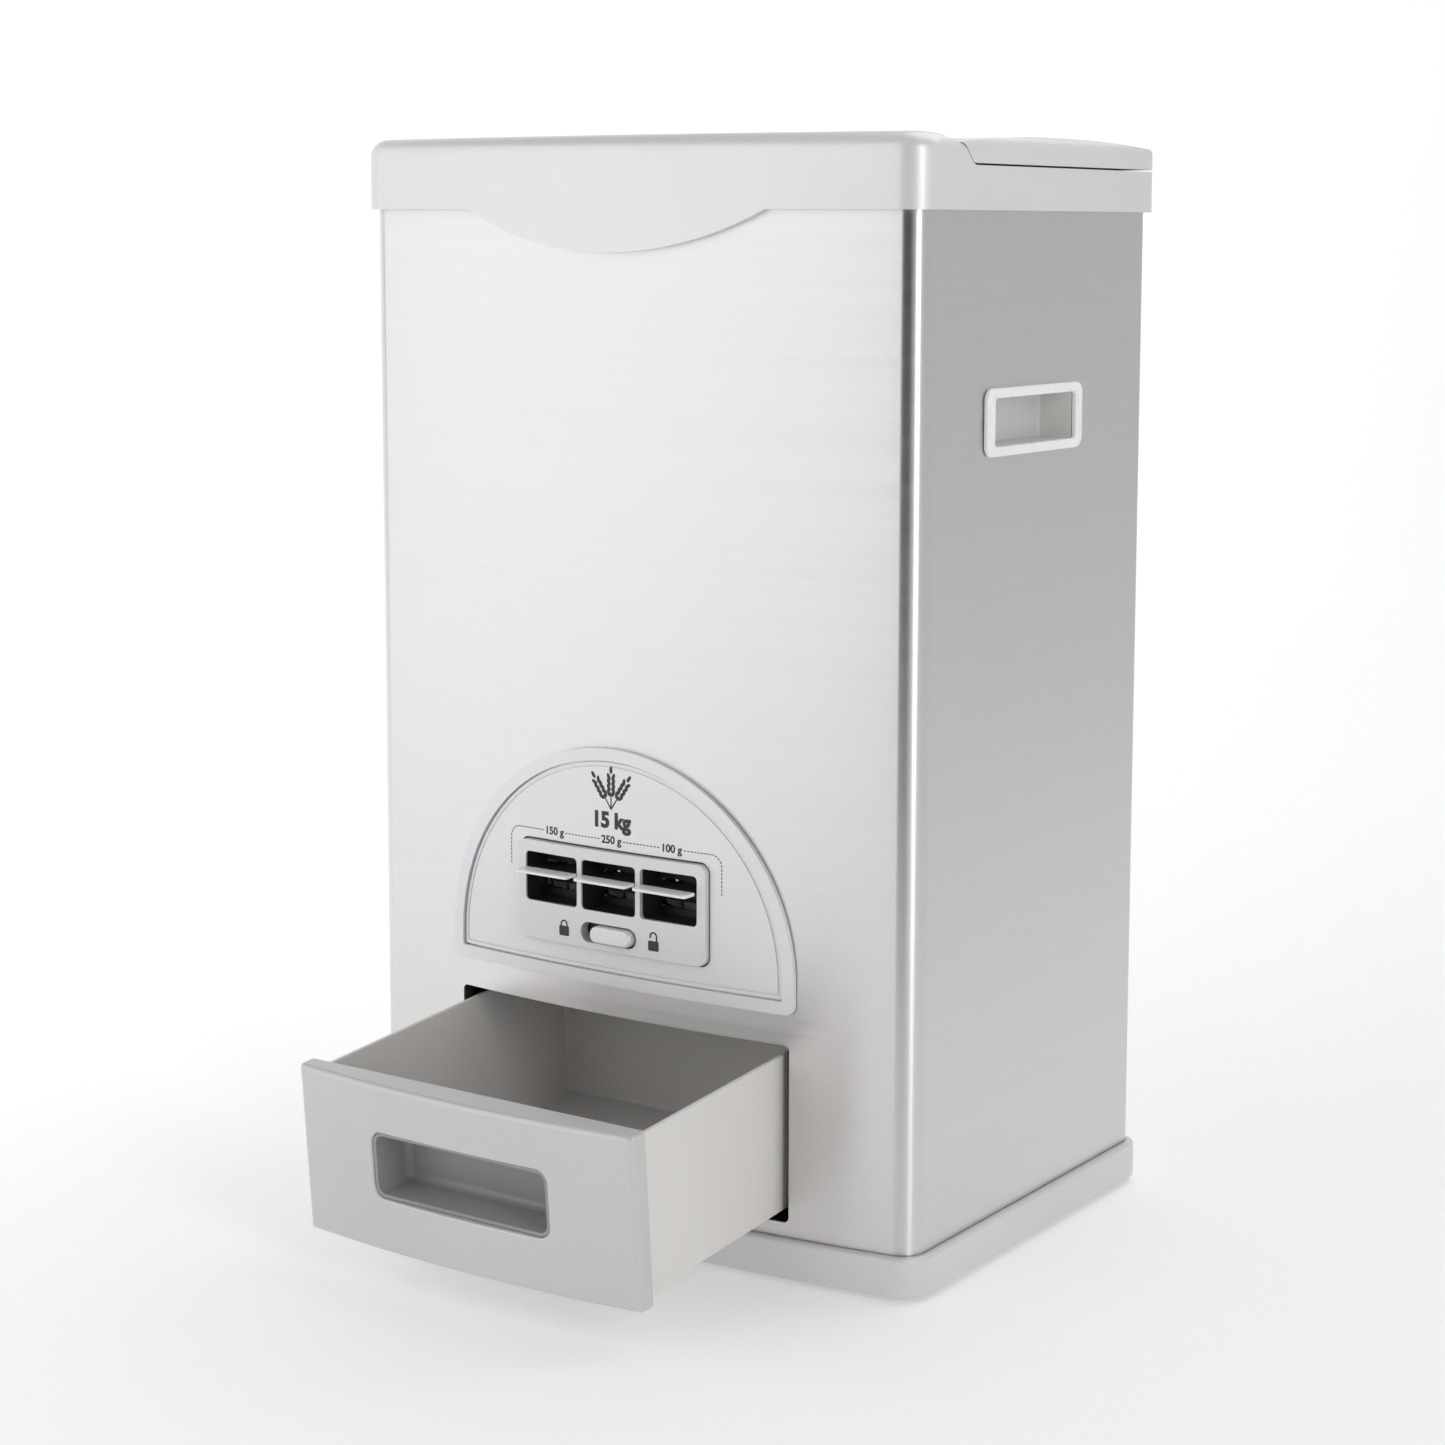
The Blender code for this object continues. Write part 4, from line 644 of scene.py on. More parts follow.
def make_plinth():
    """Plinth with soft edges, its upstand and a thin step under the steel."""
    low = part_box("base_tray")[0].z
    top = BODY_LOW.z - GAP
    plinth = prism("plinth", plan(PROUD), low, top)
    soften(plinth, lambda point: near(point.z, top), PLINTH_TOP_EDGE, segments=5)
    soften(plinth, lambda point: near(point.z, low), PLINTH_FOOT_EDGE, segments=3)
    upstand = prism("upstand", plan(-SHEET - GAP), low + PLINTH_FLOOR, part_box("base_tray")[1].z)
    carve(plinth, upstand, operation="UNION")
    carve(plinth, prism("hollow", plan(-PLINTH_WALL), low + PLINTH_FLOOR, top + 2 * OVERCUT))
    groove = prism("groove", plan(STEP_REACH), top - STEP_DEPTH, top + NICK)
    carve(groove, prism("groove_inside", plan(-SHEET), top - OVERCUT, top + OVERCUT))
    carve(plinth, groove)
    dress(plinth, PALE)
    stand_for(plinth, "cabinet", "pale_plastic", "base_tray")


def bar_slope(shift=0.0, steps=18):
    """Curved rear slope of the collar's front bar, as points in Y and Z from its top down."""
    top = TOP - BAR_DROP
    points = []
    for index in range(steps + 1):
        share = index / steps
        height = SEAM + (top - SEAM) * (1 + math.cos(math.pi * share)) / 2
        points.append((CORNER_LINE + BAR_REAR + BAR_SLOPE * share + shift, height))
    return points


def knuckle(name, x, length, y, z, web_low, web_high, reach):
    """Hinge knuckle with its web."""
    tube = rod(name, (x, y, z), KNUCKLE, length, "X", sides=28)
    end = (x + length / 2, y - KNUCKLE_OVERLAP, web_high)
    web = block(name + "_web", (x - length / 2, reach, web_low), end)
    return carve(tube, web, operation="UNION")


def hinges():
    """Each hinge pin's name, centre and length."""
    for hand in ("left", "right"):
        low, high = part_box(f"lid_hinge_pin_{hand}")
        yield hand, (low + high) / 2, high.x - low.x


def make_collar():
    """Top collar: soft front bar, straight skirt, curved apron, deck and mouth."""
    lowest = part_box("top_collar")[0].z
    drop = COLLAR_BOTTOM - lowest
    collar = prism("collar", plan(PROUD), lowest - OVERCUT, TOP)
    soften(collar, lambda point: near(point.z, TOP), BAR_EDGE, segments=9)
    wide = WIDTH
    ahead, behind = FRONT - REACH, REAR + REACH
    slope = bar_slope()
    crown_start, crown_top = CORNER_LINE + CROWN_SETBACK, TOP + CROWN_RISE
    crown = [(ahead, BELOW_COLLAR), (ahead, TOP + OVERCUT), (crown_start, crown_top)]
    for index in range(1, CROWN_STEPS):
        share = index / CROWN_STEPS
        y = crown_start + (slope[0][0] - crown_start) * share
        crown.append((y, crown_top - (BAR_DROP + CROWN_RISE) * share ** 2))
    crown += slope + [(behind, SEAM), (behind, BELOW_COLLAR)]
    carve(collar, prism("profile", crown, -wide, wide, "X"), operation="INTERSECT")
    carve(collar, prism("skirt", plan(GAP), BELOW_COLLAR, SEAM - DECK))
    half = APRON_WIDTH / 2
    radius = (half ** 2 + drop ** 2) / (2 * drop)
    lean = math.degrees(math.asin(half / radius))
    smile = arc((0, lowest + radius), radius, 270 - lean, 270 + lean, segments=41)
    below = [(-wide, COLLAR_BOTTOM), (-wide, BELOW_COLLAR), (wide, BELOW_COLLAR), (wide, COLLAR_BOTTOM)]
    middle = FRONT + REACH
    carve(collar, prism("apron", below + smile[::-1], ahead, middle, "Y"))
    rear_trim = (-wide, middle - NICK, BELOW_COLLAR), (wide, behind, COLLAR_BOTTOM)
    carve(collar, block("trim", *rear_trim))
    side, rear = MOUTH_WIDTH / 2, REAR - MOUTH_REAR_WALL
    mouth = rounded_box(-side, CORNER_LINE + MOUTH_SETBACK, side, rear, MOUTH_CORNER)
    carve(collar, prism("mouth", mouth, BELOW_MOUTH, TOP + OVERCUT))
    front, rear = CORNER_LINE - BAR_ROOM_FRONT, slope[0][0] - BAR_ROOM_WALL
    room = rounded_box(-side, front, side, rear, BAR_ROOM_CORNER)
    carve(collar, prism("bar_room", room, BELOW_MOUTH, TOP - BAR_DROP - BAR_ROOM_ROOF))
    for _, centre, length in hinges():
        tube = (length - 4 * GAP) / 3
        for sign in (-1, 1):
            place = centre.x + sign * (tube + GAP)
            web = (SEAM - WEB_HEIGHT, SEAM - GAP, REAR + EAR_REACH)
            carve(collar, knuckle("ear", place, tube, centre.y, centre.z, *web), operation="UNION")
        carve(collar, rod("bore", centre, PIN_BORE, 2 * length, "X", sides=24))
    round_all(collar, FINE_EDGE, segments=3, angle=48)
    dress(collar, SILVER)
    stand_for(collar, "cabinet", "silver_plastic", "top_collar")


def make_lid():
    """Domed lid with a soft top edge, hollow below."""
    low = SEAM + SEAM_GAP
    lid = prism("filling_lid", plan(PROUD), low, TOP)
    soften(lid, lambda point: near(point.z, TOP), LID_EDGE, segments=8)
    slope = bar_slope(SEAM_GAP)
    start, end = slope[0][0], REAR + 2 * PROUD
    outline = [(end, BELOW_MOUTH)]
    for index in range(DOME_STEPS + 1):
        share = 1 - 2 * index / DOME_STEPS
        outline.append(((start + end) / 2 + share * (end - start) / 2, TOP - LID_DOME * share ** 2))
    outline += slope[1:] + [(slope[-1][0], BELOW_MOUTH)]
    carve(lid, prism("profile", outline, -WIDTH, WIDTH, "X"), operation="INTERSECT")
    seal_low, seal_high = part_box("lid_seal")
    inside = rounded_box(
        seal_low.x - GAP, seal_low.y - GAP, seal_high.x + GAP, seal_high.y + GAP, SEAL_CORNER
    )
    carve(lid, prism("inside", inside, BELOW_MOUTH, seal_high.z + SEAL_ROOM))
    for _, centre, length in hinges():
        tube = (length - 4 * GAP) / 3
        web = (low, low + WEB_HEIGHT, REAR + EYE_REACH)
        carve(lid, knuckle("eye", centre.x, tube - GAP, centre.y, centre.z, *web), operation="UNION")
        carve(lid, rod("bore", centre, PIN_BORE, length, "X", sides=24))
    round_all(lid, FINE_EDGE, segments=3, angle=48)
    dress(lid, SILVER)
    stand_for(lid, "filling_lid", "silver_plastic", "lid")


def make_handles():
    """Raised bezel and sunk pocket on each side."""
    outer_low, outer_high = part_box("handle_bezel_right")
    pocket_low, pocket_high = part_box("handle_pocket_right")
    centre_y = (outer_low.y + outer_high.y) / 2
    centre_z = (outer_low.z + outer_high.z) / 2
    size = (outer_high.y - outer_low.y, outer_high.z - outer_low.z)
    hole = pocket_outline(-POCKET_WALL, HOLE_CORNER)
    for hand, sign in (("left", -1), ("right", 1)):
        back, face = sign * outer_low.x, sign * outer_high.x
        outline = centred(centre_y, centre_z, *size, BEZEL_CORNER, segments=10)
        bezel = prism(f"bezel_{hand}", outline, *sorted((back, face)), "X")
        soften(bezel, lambda point: near(point.x, face), BEZEL_FACE_ROUND, segments=5)
        ends = sorted((back - sign * OVERCUT, face + sign * OVERCUT))
        carve(bezel, prism("hole", hole, *ends, "X"))
        round_all(bezel, BEZEL_EDGE, segments=3, angle=50)
        dress(bezel, WHITE)
        stand_for(bezel, "cabinet", "white_plastic", f"handle_bezel_{hand}")
        floor, mouth = sign * pocket_low.x, sign * pocket_high.x
        pocket = prism(f"pocket_{hand}", pocket_outline(), *sorted((floor, mouth)), "X")
        bottom = floor + sign * POCKET_WALL
        room = prism("room", hole, *sorted((bottom, mouth + sign * OVERCUT)), "X")
        soften(room, lambda point: near(point.x, bottom), POCKET_FLOOR_ROUND, segments=4)
        carve(pocket, room)
        dress(pocket, GREY)
        stand_for(pocket, "cabinet", "pocket_plastic", f"handle_pocket_{hand}")


# ---------------------------------------------------------------- dosing panel

SKIN_MARGIN = 0.004          # slabs run this far past the half-moon's box
HALF_MOON_REACH = 0.03       # ahead of and behind the front
BEAD_PROUD = 0.0030
BEAD_ROUND = 0.0024
PLATE_EDGE = 0.0002
RIM_GAP = 0.0008             # between the plate and the bead
LINE_OUTER = 0.0027          # engraved line, from the bead's inner edge
LINE_INNER = 0.0033
LINE_DEPTH = 0.0006
MODULE_CORNER = 0.005
MODULE_BACK = 0.02           # deeper than the module's bow
MODULE_HALF = 0.08           # beyond the module's sides
MODULE_SPAN = (0.1, 0.3)     # below and above the module
MODULE_EDGE = 0.0007
WINDOW_CORNER = 0.0024
KNOB_SLOT = (0.037, 0.011, 0.0054)
RECESS_WALL = 0.0016
RECESS_EDGE = 0.0003
ARM_ROOM = 0.0007            # beside an arm in its slot
ARM_SLOT = (0.1880, 0.2036)
TAB_DROP = 0.00005           # tab's top below its lever's box
TAB_NOSE = 0.0012
TAB_CHAMFER = 0.0003
TAB_CORNER = 0.0024
TAB_EDGE = 0.0004
ARM_INSET = 0.0030           # arm's sides inside the tab's
ARM_LAP = 0.003              # arm under the tab's rear end
ARM_STEP = 0.0004            # arm thinner than the tab, above and below
ARM_BEND = 0.010             # where the arm starts to fall towards its hub
ARM_NECK = 0.004
NECK_RISE = 0.0018
HUB_LAP = 0.0022
HUB_BORE = 0.003
ARM_EDGE = 0.0003
KNOB_ROUND = 0.0013
KNOB_FLAT = 0.0001


def skin(name, inner, outer, half, low, high):
    """Slab that follows the bowed front, between two outsets and two heights."""
    return prism(name, front_strip(inner, outer, half), low, high)


def make_fascia():
    """Half-moon plate and the raised bead round it."""
    low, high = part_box("fascia_rim")
    slab = (high.x + SKIN_MARGIN, low.z - SKIN_MARGIN, high.z + SKIN_MARGIN)
    ahead, behind = FRONT - HALF_MOON_REACH, FRONT + HALF_MOON_REACH
    through = (ahead - OVERCUT, behind + OVERCUT, "Y")
    rim = skin("fascia_bead", GAP, BEAD_PROUD, *slab)
    carve(rim, prism("outline", arch(0.0), ahead, behind, "Y"), operation="INTERSECT")
    carve(rim, prism("hole", arch(RIM_WIDTH), *through))
    round_all(rim, BEAD_ROUND, segments=6, angle=50)
    dress(rim, SILVER)
    stand_for(rim, "cabinet", "silver_plastic", "fascia_rim")
    plate = skin("fascia_plate_fine", GAP, PLATE_PROUD, *slab)
    carve(plate, prism("outline", arch(RIM_WIDTH + RIM_GAP), ahead, behind, "Y"), operation="INTERSECT")
    module_low, module_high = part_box("lever_module")
    hole = rounded_box(
        module_low.x - MODULE_GROOVE, module_low.z - MODULE_GROOVE,
        module_high.x + MODULE_GROOVE, module_high.z + MODULE_GROOVE, MODULE_CORNER + MODULE_GROOVE
    )
    carve(plate, prism("hole", hole, *through))
    line = skin("line", PLATE_PROUD - LINE_DEPTH, PLATE_PROUD + OVERCUT, *slab)
    carve(line, prism("field", arch(RIM_WIDTH + LINE_INNER), *through))
    edge = prism("edge", arch(RIM_WIDTH + LINE_OUTER), ahead - 2 * OVERCUT, behind + 2 * OVERCUT, "Y")
    carve(line, edge, operation="INTERSECT")
    carve(plate, line)
    round_all(plate, PLATE_EDGE, segments=2, angle=50)
    dress(plate, SILVER)
    stand_for(plate, "cabinet", "silver_plastic", "fascia_plate")


def lever_place(dose):
    """Centre in X of a lever."""
    low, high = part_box(f"dose_lever_{dose}")
    return (low.x + high.x) / 2


def window_outline(x, margin=0.0):
    """Outline of the window over one lever, moved out by margin."""
    width, height = WINDOW_WIDTH + 2 * margin, WINDOW_HIGH - WINDOW_LOW + 2 * margin
    return centred(x, (WINDOW_LOW + WINDOW_HIGH) / 2, width, height, WINDOW_CORNER + margin, segments=6)


def make_module():
    """Raised module with three windows and the lock's slot, hollowed behind its face to leave room for the dark
    recess.
    """
    low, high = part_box("lever_module")
    rear = high.y
    outline = rounded_box(low.x, low.z, high.x, high.z, MODULE_CORNER, segments=10)
    module = prism("module_face", outline, rear - MODULE_BACK, rear, "Y")
    front = skin("front", -MODULE_BACK, MODULE_PROUD, MODULE_HALF, *MODULE_SPAN)
    carve(module, front, operation="INTERSECT")
    through = (rear - MODULE_BACK - OVERCUT, rear + OVERCUT, "Y")
    for dose in DOSES:
        x = lever_place(dose)
        carve(module, prism("window", window_outline(x), *through))
        sleeve_room = window_outline(x, SLEEVE_WALL + GAP / 2)
        face = front_y(abs(x) + WINDOW_WIDTH / 2, MODULE_PROUD) + MODULE_FACE
        carve(module, prism("sleeve_room", sleeve_room, face, rear + OVERCUT, "Y"))
    knob_low, knob_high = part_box("lock_knob")
    slot = centred(0, (knob_low.z + knob_high.z) / 2, *KNOB_SLOT, segments=12)
    carve(module, prism("slot", slot, *through))
    round_all(module, MODULE_EDGE, segments=4, angle=50)
    dress(module, MODULE_SILVER)
    stand_for(module, "cabinet", "silver_plastic", "lever_module")


def make_recess():
    """Dark recess: three pockets with the slots that the lever arms pass."""
    low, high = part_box("lever_recess")
    back = high.y - RECESS_WALL
    recess = block("recess", low, high)
    for dose in DOSES:
        x = lever_place(dose)
        lever_low, lever_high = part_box(f"dose_lever_{dose}")
        mouth = front_y(abs(x) + WINDOW_WIDTH / 2, MODULE_PROUD) + MODULE_FACE + GAP
        sleeve = prism("sleeve", window_outline(x, SLEEVE_WALL), mouth, low.y + NICK, "Y")
        carve(recess, sleeve, operation="UNION")
        pocket = prism("pocket", window_outline(x, GAP), mouth - OVERCUT, back, "Y")
        carve(recess, pocket)
        half = (lever_high.x - lever_low.x) / 2 + ARM_ROOM
        start = (x - half, back - NICK, ARM_SLOT[0])
        carve(recess, block("slot", start, (x + half, high.y + OVERCUT, ARM_SLOT[1])))
    round_all(recess, RECESS_EDGE, segments=2, angle=50)
    dress(recess, DARK)
    stand_for(recess, "cabinet", "dark_plastic", "lever_recess")


def make_levers():
    """Press levers: a white tab clipped on a dark arm that turns on the shaft."""
    for dose in DOSES:
        low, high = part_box(f"dose_lever_{dose}")
        pivot = JOINTS[f"press_{dose}"]["pos_m"]
        x, y, z = pivot
        half = (high.x - low.x) / 2
        tip, top = low.y, high.z - TAB_DROP
        under = top - TAB_THICKNESS
        hub = z - low.z
        seat = tip + TAB_LENGTH
        side = [(tip, under + TAB_CHAMFER), (tip, top - TAB_CHAMFER), (tip + TAB_NOSE, top)]
        side += [(seat, top), (seat, under), (tip + TAB_NOSE, under)]
        tab = prism(f"press_tab_{dose}", side, x - half, x + half, "X")
        span = rounded_box(x - half, tip, x + half, seat + OVERCUT, TAB_CORNER)
        carve(tab, prism("corners", span, z - 2 * OVERCUT, z + 2 * OVERCUT), operation="INTERSECT")
        round_all(tab, TAB_EDGE, segments=3, angle=40)
        dress(tab, WHITE)
        stand_for(tab, f"lever_{dose}", "white_plastic", f"dose_lever_{dose}")
        upper = [(seat - ARM_LAP, top - ARM_STEP), (y - ARM_BEND, top - ARM_STEP)]
        upper += [(y - ARM_NECK, z + hub + NECK_RISE), (y, z + hub)]
        lower = [(y, z + hub - HUB_LAP), (y - ARM_NECK, z + hub - ARM_STEP)]
        lower += [(y - ARM_BEND, under + ARM_STEP), (seat - ARM_LAP, under + ARM_STEP)]
        reach = half - ARM_INSET
        arm = prism(f"press_arm_{dose}", upper + lower, x - reach, x + reach, "X")
        carve(arm, rod("hub", pivot, hub, 2 * half), operation="UNION")
        carve(arm, rod("bore", pivot, HUB_BORE, 4 * half))
        round_all(arm, ARM_EDGE, segments=2, angle=40)
        dress(arm, DARK)
        stand_for(arm, f"lever_{dose}", "dark_plastic")


def make_lock():
    """Lock knob: an obround button with a soft front edge."""
    low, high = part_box("lock_knob")
    x, z = (low.x + high.x) / 2, (low.z + high.z) / 2
    width, height = high.x - low.x, high.z - low.z
    outline = centred(x, z, width, height, height / 2 - KNOB_FLAT, segments=16)
    knob = prism("slide_knob", outline, low.y, high.y, "Y")
    soften(knob, lambda point: near(point.y, low.y), KNOB_ROUND, segments=5)
    dress(knob, SILVER)
    stand_for(knob, "lock", "silver_plastic", "lock_knob")


# ---------------------------------------------------------------- drawer

DRAWER_LENGTH = 0.205
DRAWER_EXTENSION = 0.125
DRAWER_HEIGHT = 0.0836
DRAWER_WALL = 0.0023
STEP_DROP = 0.0034
FRONT_DROP = 0.0040
FRONT_RISE = 0.0039
FRONT_END = -0.1363          # drawer front's ends in the drawer's own Y
GRIP_WIDTH = 0.115
GRIP_HEIGHT = 0.036
GRIP_CENTRE = 0.0435
GRIP_CORNER = 0.007
GRIP_DEPTH = 0.026
GRIP_WALL = 0.0018
GRIP_SETBACK = -0.003
GRIP_FLOOR_ROUND = 0.004
BOX_CORNER = 0.004
ROOM_CORNER = 0.003
ROOM_FLOOR_ROUND = 0.0025
BOX_EDGE = 0.0005
STEP_INSET = 0.004           # stop under the drawer's front end
STEP_LENGTH = 0.0145
FLOOR_PANEL = (-0.070, -0.078, 0.070, 0.050)
FLOOR_PANEL_CORNER = 0.012
FLOOR_PANEL_RISE = 0.0012
FLOOR_PANEL_ROUND = 0.0008
FACE_ROUND = 0.0032
FACE_EDGE = 0.0013


def drawer_frame():
    """Place of the drawer's own frame, which falls with its runners."""
    low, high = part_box("drawer_box")
    y = high.y - (DRAWER_LENGTH - DRAWER_EXTENSION) * math.cos(FALL)
    z = low.z + DRAWER_EXTENSION * math.sin(FALL) + STEP_DROP * math.cos(FALL)
    return Matrix.Translation((0, y, z)) @ Matrix.Rotation(FALL, 4, "X")


def grip_outline(margin=0.0):
    """Outline of the drawer's grip, moved out by margin."""
    size = (GRIP_WIDTH + 2 * margin, GRIP_HEIGHT + 2 * margin)
    return centred(0, GRIP_CENTRE, *size, GRIP_CORNER + margin, segments=10)


def make_drawer_box(place):
    """Thin-walled drawer with soft rims and a raised panel on its floor."""
    low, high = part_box("drawer_box")
    half = high.x
    wall = DRAWER_WALL
    front, rear = -DRAWER_EXTENSION, DRAWER_LENGTH - DRAWER_EXTENSION
    box = prism("drawer_tub", rounded_box(-half, front, half, rear, BOX_CORNER), 0.0, DRAWER_HEIGHT)
    side = half - STEP_INSET
    step = block("step", (-side, front, -STEP_DROP), (side, front + STEP_LENGTH, wall / 2))
    carve(box, step, operation="UNION")
    inside = rounded_box(wall - half, front + wall, half - wall, rear - wall, ROOM_CORNER)
    room = prism("room", inside, wall, DRAWER_HEIGHT + OVERCUT)
    soften(room, lambda point: near(point.z, wall), ROOM_FLOOR_ROUND, segments=5)
    carve(box, room)
    top = wall + FLOOR_PANEL_RISE
    panel = prism("panel", rounded_box(*FLOOR_PANEL, FLOOR_PANEL_CORNER), wall / 2, top)
    soften(panel, lambda point: near(point.z, top), FLOOR_PANEL_ROUND, segments=3)
    carve(box, panel, operation="UNION")
    carve(box, prism("grip", grip_outline(), front - OVERCUT, front + OVERCUT, "Y"))
    round_all(box, BOX_EDGE, segments=3, angle=55)
    box.data.transform(place)
    dress(box, BEIGE)
    stand_for(box, "drawer", "drawer_plastic", "drawer_box")


def make_drawer_front(place):
    """Bowed drawer front: soft edges all round and a soft edge at its grip."""
    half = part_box("drawer_front")[1].x
    rear = -DRAWER_EXTENSION - GAP
    radius = FRONT_RADIUS
    centre = FRONT_END + math.sqrt(radius ** 2 - half ** 2)
    lean = math.degrees(math.asin(half / radius))
    outline = arc((0, centre), radius, 270 - lean, 270 + lean, segments=48)
    outline += [(half, rear), (-half, rear)]
    low, high = -FRONT_DROP, DRAWER_HEIGHT + FRONT_RISE
    front = prism("drawer_face", outline, low, high)

    def outer(edge):
        """Whether an edge runs round the face's front side."""
        start, end = (vert.co for vert in edge.verts)
        upright = near(abs(start.x), half) and near(start.x, end.x)
        if not near(start.z, end.z) and not upright:
            return False
        return all(
            point.y <= FRONT_END + SAME
            and (near(point.z, low) or near(point.z, high) or near(abs(point.x), half))
            for point in (start, end)
        )

    work = bmesh.new()
    work.from_mesh(front.data)
    edges = [edge for edge in work.edges if outer(edge)]
    bmesh.ops.bevel(
        work, geom=edges, offset=FACE_ROUND, segments=7, profile=0.5, affect="EDGES", clamp_overlap=True
    )
    work.to_mesh(front.data)
    work.free()
    carve(front, prism("grip", grip_outline(), -DRAWER_LENGTH, 0.0, "Y"))
    round_all(front, FACE_EDGE, segments=5, angle=55)
    front.data.transform(place)
    # the darker copy of the silver plastic: painted shade on the drawer front
    dress(front, SHADED_FRONT_SILVER)
    stand_for(front, "drawer", "silver_plastic", "drawer_front")


def make_drawer_grip(place):
    """Sunk grip behind the drawer front, with a round inside."""
    mouth = FRONT_END + GRIP_SETBACK
    back = mouth + GRIP_DEPTH
    cup = prism("grip_cup", grip_outline(-GAP), mouth, back, "Y")
    floor = back - GRIP_WALL
    room = prism("room", grip_outline(-GAP - GRIP_WALL), mouth - OVERCUT, floor, "Y")
    soften(room, lambda point: near(point.y, floor), GRIP_FLOOR_ROUND)
    carve(cup, room)
    cup.data.transform(place)
    # the darker copy of the pocket plastic: painted shade in the sunk grip
    dress(cup, SHADED_GRIP_GREY)
    stand_for(cup, "drawer", "pocket_plastic", "drawer_grip")


# ---------------------------------------------------------------- panel marks

INK_DEPTH = 0.00012
LETTER_SCALE = 1.42          # type size for a capital's height
LABEL_Z = 0.2236
LABEL_HEIGHT = 0.0042
LABEL_BOLD = 0.00016
CAPACITY_Z = 0.2340
CAPACITY_HEIGHT = 0.0082
CAPACITY_BOLD = 0.00055
EAR_ROOT = 0.2405            # foot of the grain sign
EAR_LEAN = 34
STALK_LENGTH = 0.009
STALK_FOOT = 0.0004
STALK_TIP = 0.0003
GRAIN_ROWS = 4
GRAIN_START = 0.0088
GRAIN_PITCH = 0.0029
GRAIN_ASIDE = 0.0015
GRAIN_LEAN = 24
GRAIN_SHAPE = (0.0021, 0.0010)
TOP_GRAIN = 0.0212
PADLOCK_X = 0.0300
PADLOCK_SCALE = 1.3
PADLOCK_BODY = (0.0052, 0.0042, 0.0006)
PADLOCK_DROP = 0.0012
SHACKLE_INNER, SHACKLE_OUTER = 0.0012, 0.0019
SHACKLE_FOOT = 0.0009
SHACKLE_LAP = 0.0002
SHACKLE_SPRING = 0.0016
SHACKLE_LIFT = 0.0012
OPEN_FOOT = 0.0020
GUIDE_SIDE = 0.0705
GUIDE_BEND = 0.0065
GUIDE_GAP = 0.0085           # half the room left for a dose number
GUIDE_FOOT = 0.2030
GUIDE_PROUD = 0.00006
DASHES = {"Pitch": 0.0021, "Dash Length": 0.0014, "Dash Width": 0.0005, "Depth": 0.00010}


def lay_on(mesh, outset):
    """Bend a flat mark, drawn in X and Z with its depth in Y, onto the bowed front."""
    for vert in mesh.vertices:
        x, y, z = vert.co
        vert.co = (x, front_y(x, outset) + y, z)


def mark(name, outlines, outset, ink):
    """Flat marks from outlines in X and Z, on the bowed front."""
    work = bmesh.new()
    for outline in outlines:
        rings = [[work.verts.new((x, y, z)) for x, z in outline] for y in (-INK_DEPTH, -SAME)]
        count = len(outline)
        for index in range(count):
            after = (index + 1) % count
            work.faces.new((rings[0][index], rings[0][after], rings[1][after], rings[1][index]))
        work.faces.new(rings[0])
        work.faces.new(rings[1][::-1])
    piece = from_work(name, work)
    lay_on(piece.data, outset)
    dress(piece, ink)
    return stand_for(piece, "cabinet", "dark_plastic")


def lettering(name, words, x, z, height, outset, ink, bold):
    """Upright words centred at x and z on the bowed front."""
    face = bpy.data.curves.new(name, "FONT")
    face.body = words
    face.size = height * LETTER_SCALE
    face.align_x = "CENTER"
    face.align_y = "CENTER"
    face.extrude = (INK_DEPTH - SAME) / 2
    face.offset = bold
    face.resolution_u = 5
    drawn = bpy.data.objects.new(name, face)
    bpy.context.scene.collection.objects.link(drawn)
    view = bpy.context.evaluated_depsgraph_get()
    mesh = bpy.data.meshes.new_from_object(drawn.evaluated_get(view))
    bpy.data.objects.remove(drawn)
    depth = -(INK_DEPTH + SAME) / 2
    mesh.transform(Matrix.Translation((x, depth, z)) @ Matrix.Rotation(math.pi / 2, 4, "X"))
    lay_on(mesh, outset)
    piece = add(name, mesh)
    clean(piece)
    dress(piece, ink)
    return stand_for(piece, "cabinet", "dark_plastic")


def ellipse(x, z, long, short, turn, count=14):
    """Ellipse about a centre, its long half-axis turned from +Z towards +X by turn degrees."""
    turn = math.radians(turn)
    points = []
    for index in range(count):
        angle = 2 * math.pi * index / count
        u, v = short * math.cos(angle), long * math.sin(angle)
        right, up = u * math.cos(turn) + v * math.sin(turn), v * math.cos(turn) - u * math.sin(turn)
        points.append((x + right, z + up))
    return points


def ear_of_grain(lean):
    """Stalk and grains of one ear, leaning from +Z towards +X by lean degrees."""
    turn = math.radians(lean)

    def at(along, aside):
        """Point along the stalk and beside it."""
        return (
            along * math.sin(turn) + aside * math.cos(turn),
            EAR_ROOT + along * math.cos(turn) - aside * math.sin(turn),
        )

    foot = [at(0, -STALK_FOOT), at(0, STALK_FOOT)]
    outlines = [foot + [at(STALK_LENGTH, STALK_TIP), at(STALK_LENGTH, -STALK_TIP)]]
    for row in range(GRAIN_ROWS):
        along = GRAIN_START + GRAIN_PITCH * row
        for side in (-1, 1):
            place = at(along, side * GRAIN_ASIDE)
            outlines.append(ellipse(*place, *GRAIN_SHAPE, lean + side * GRAIN_LEAN))
    outlines.append(ellipse(*at(TOP_GRAIN, 0), *GRAIN_SHAPE, lean))
    return outlines


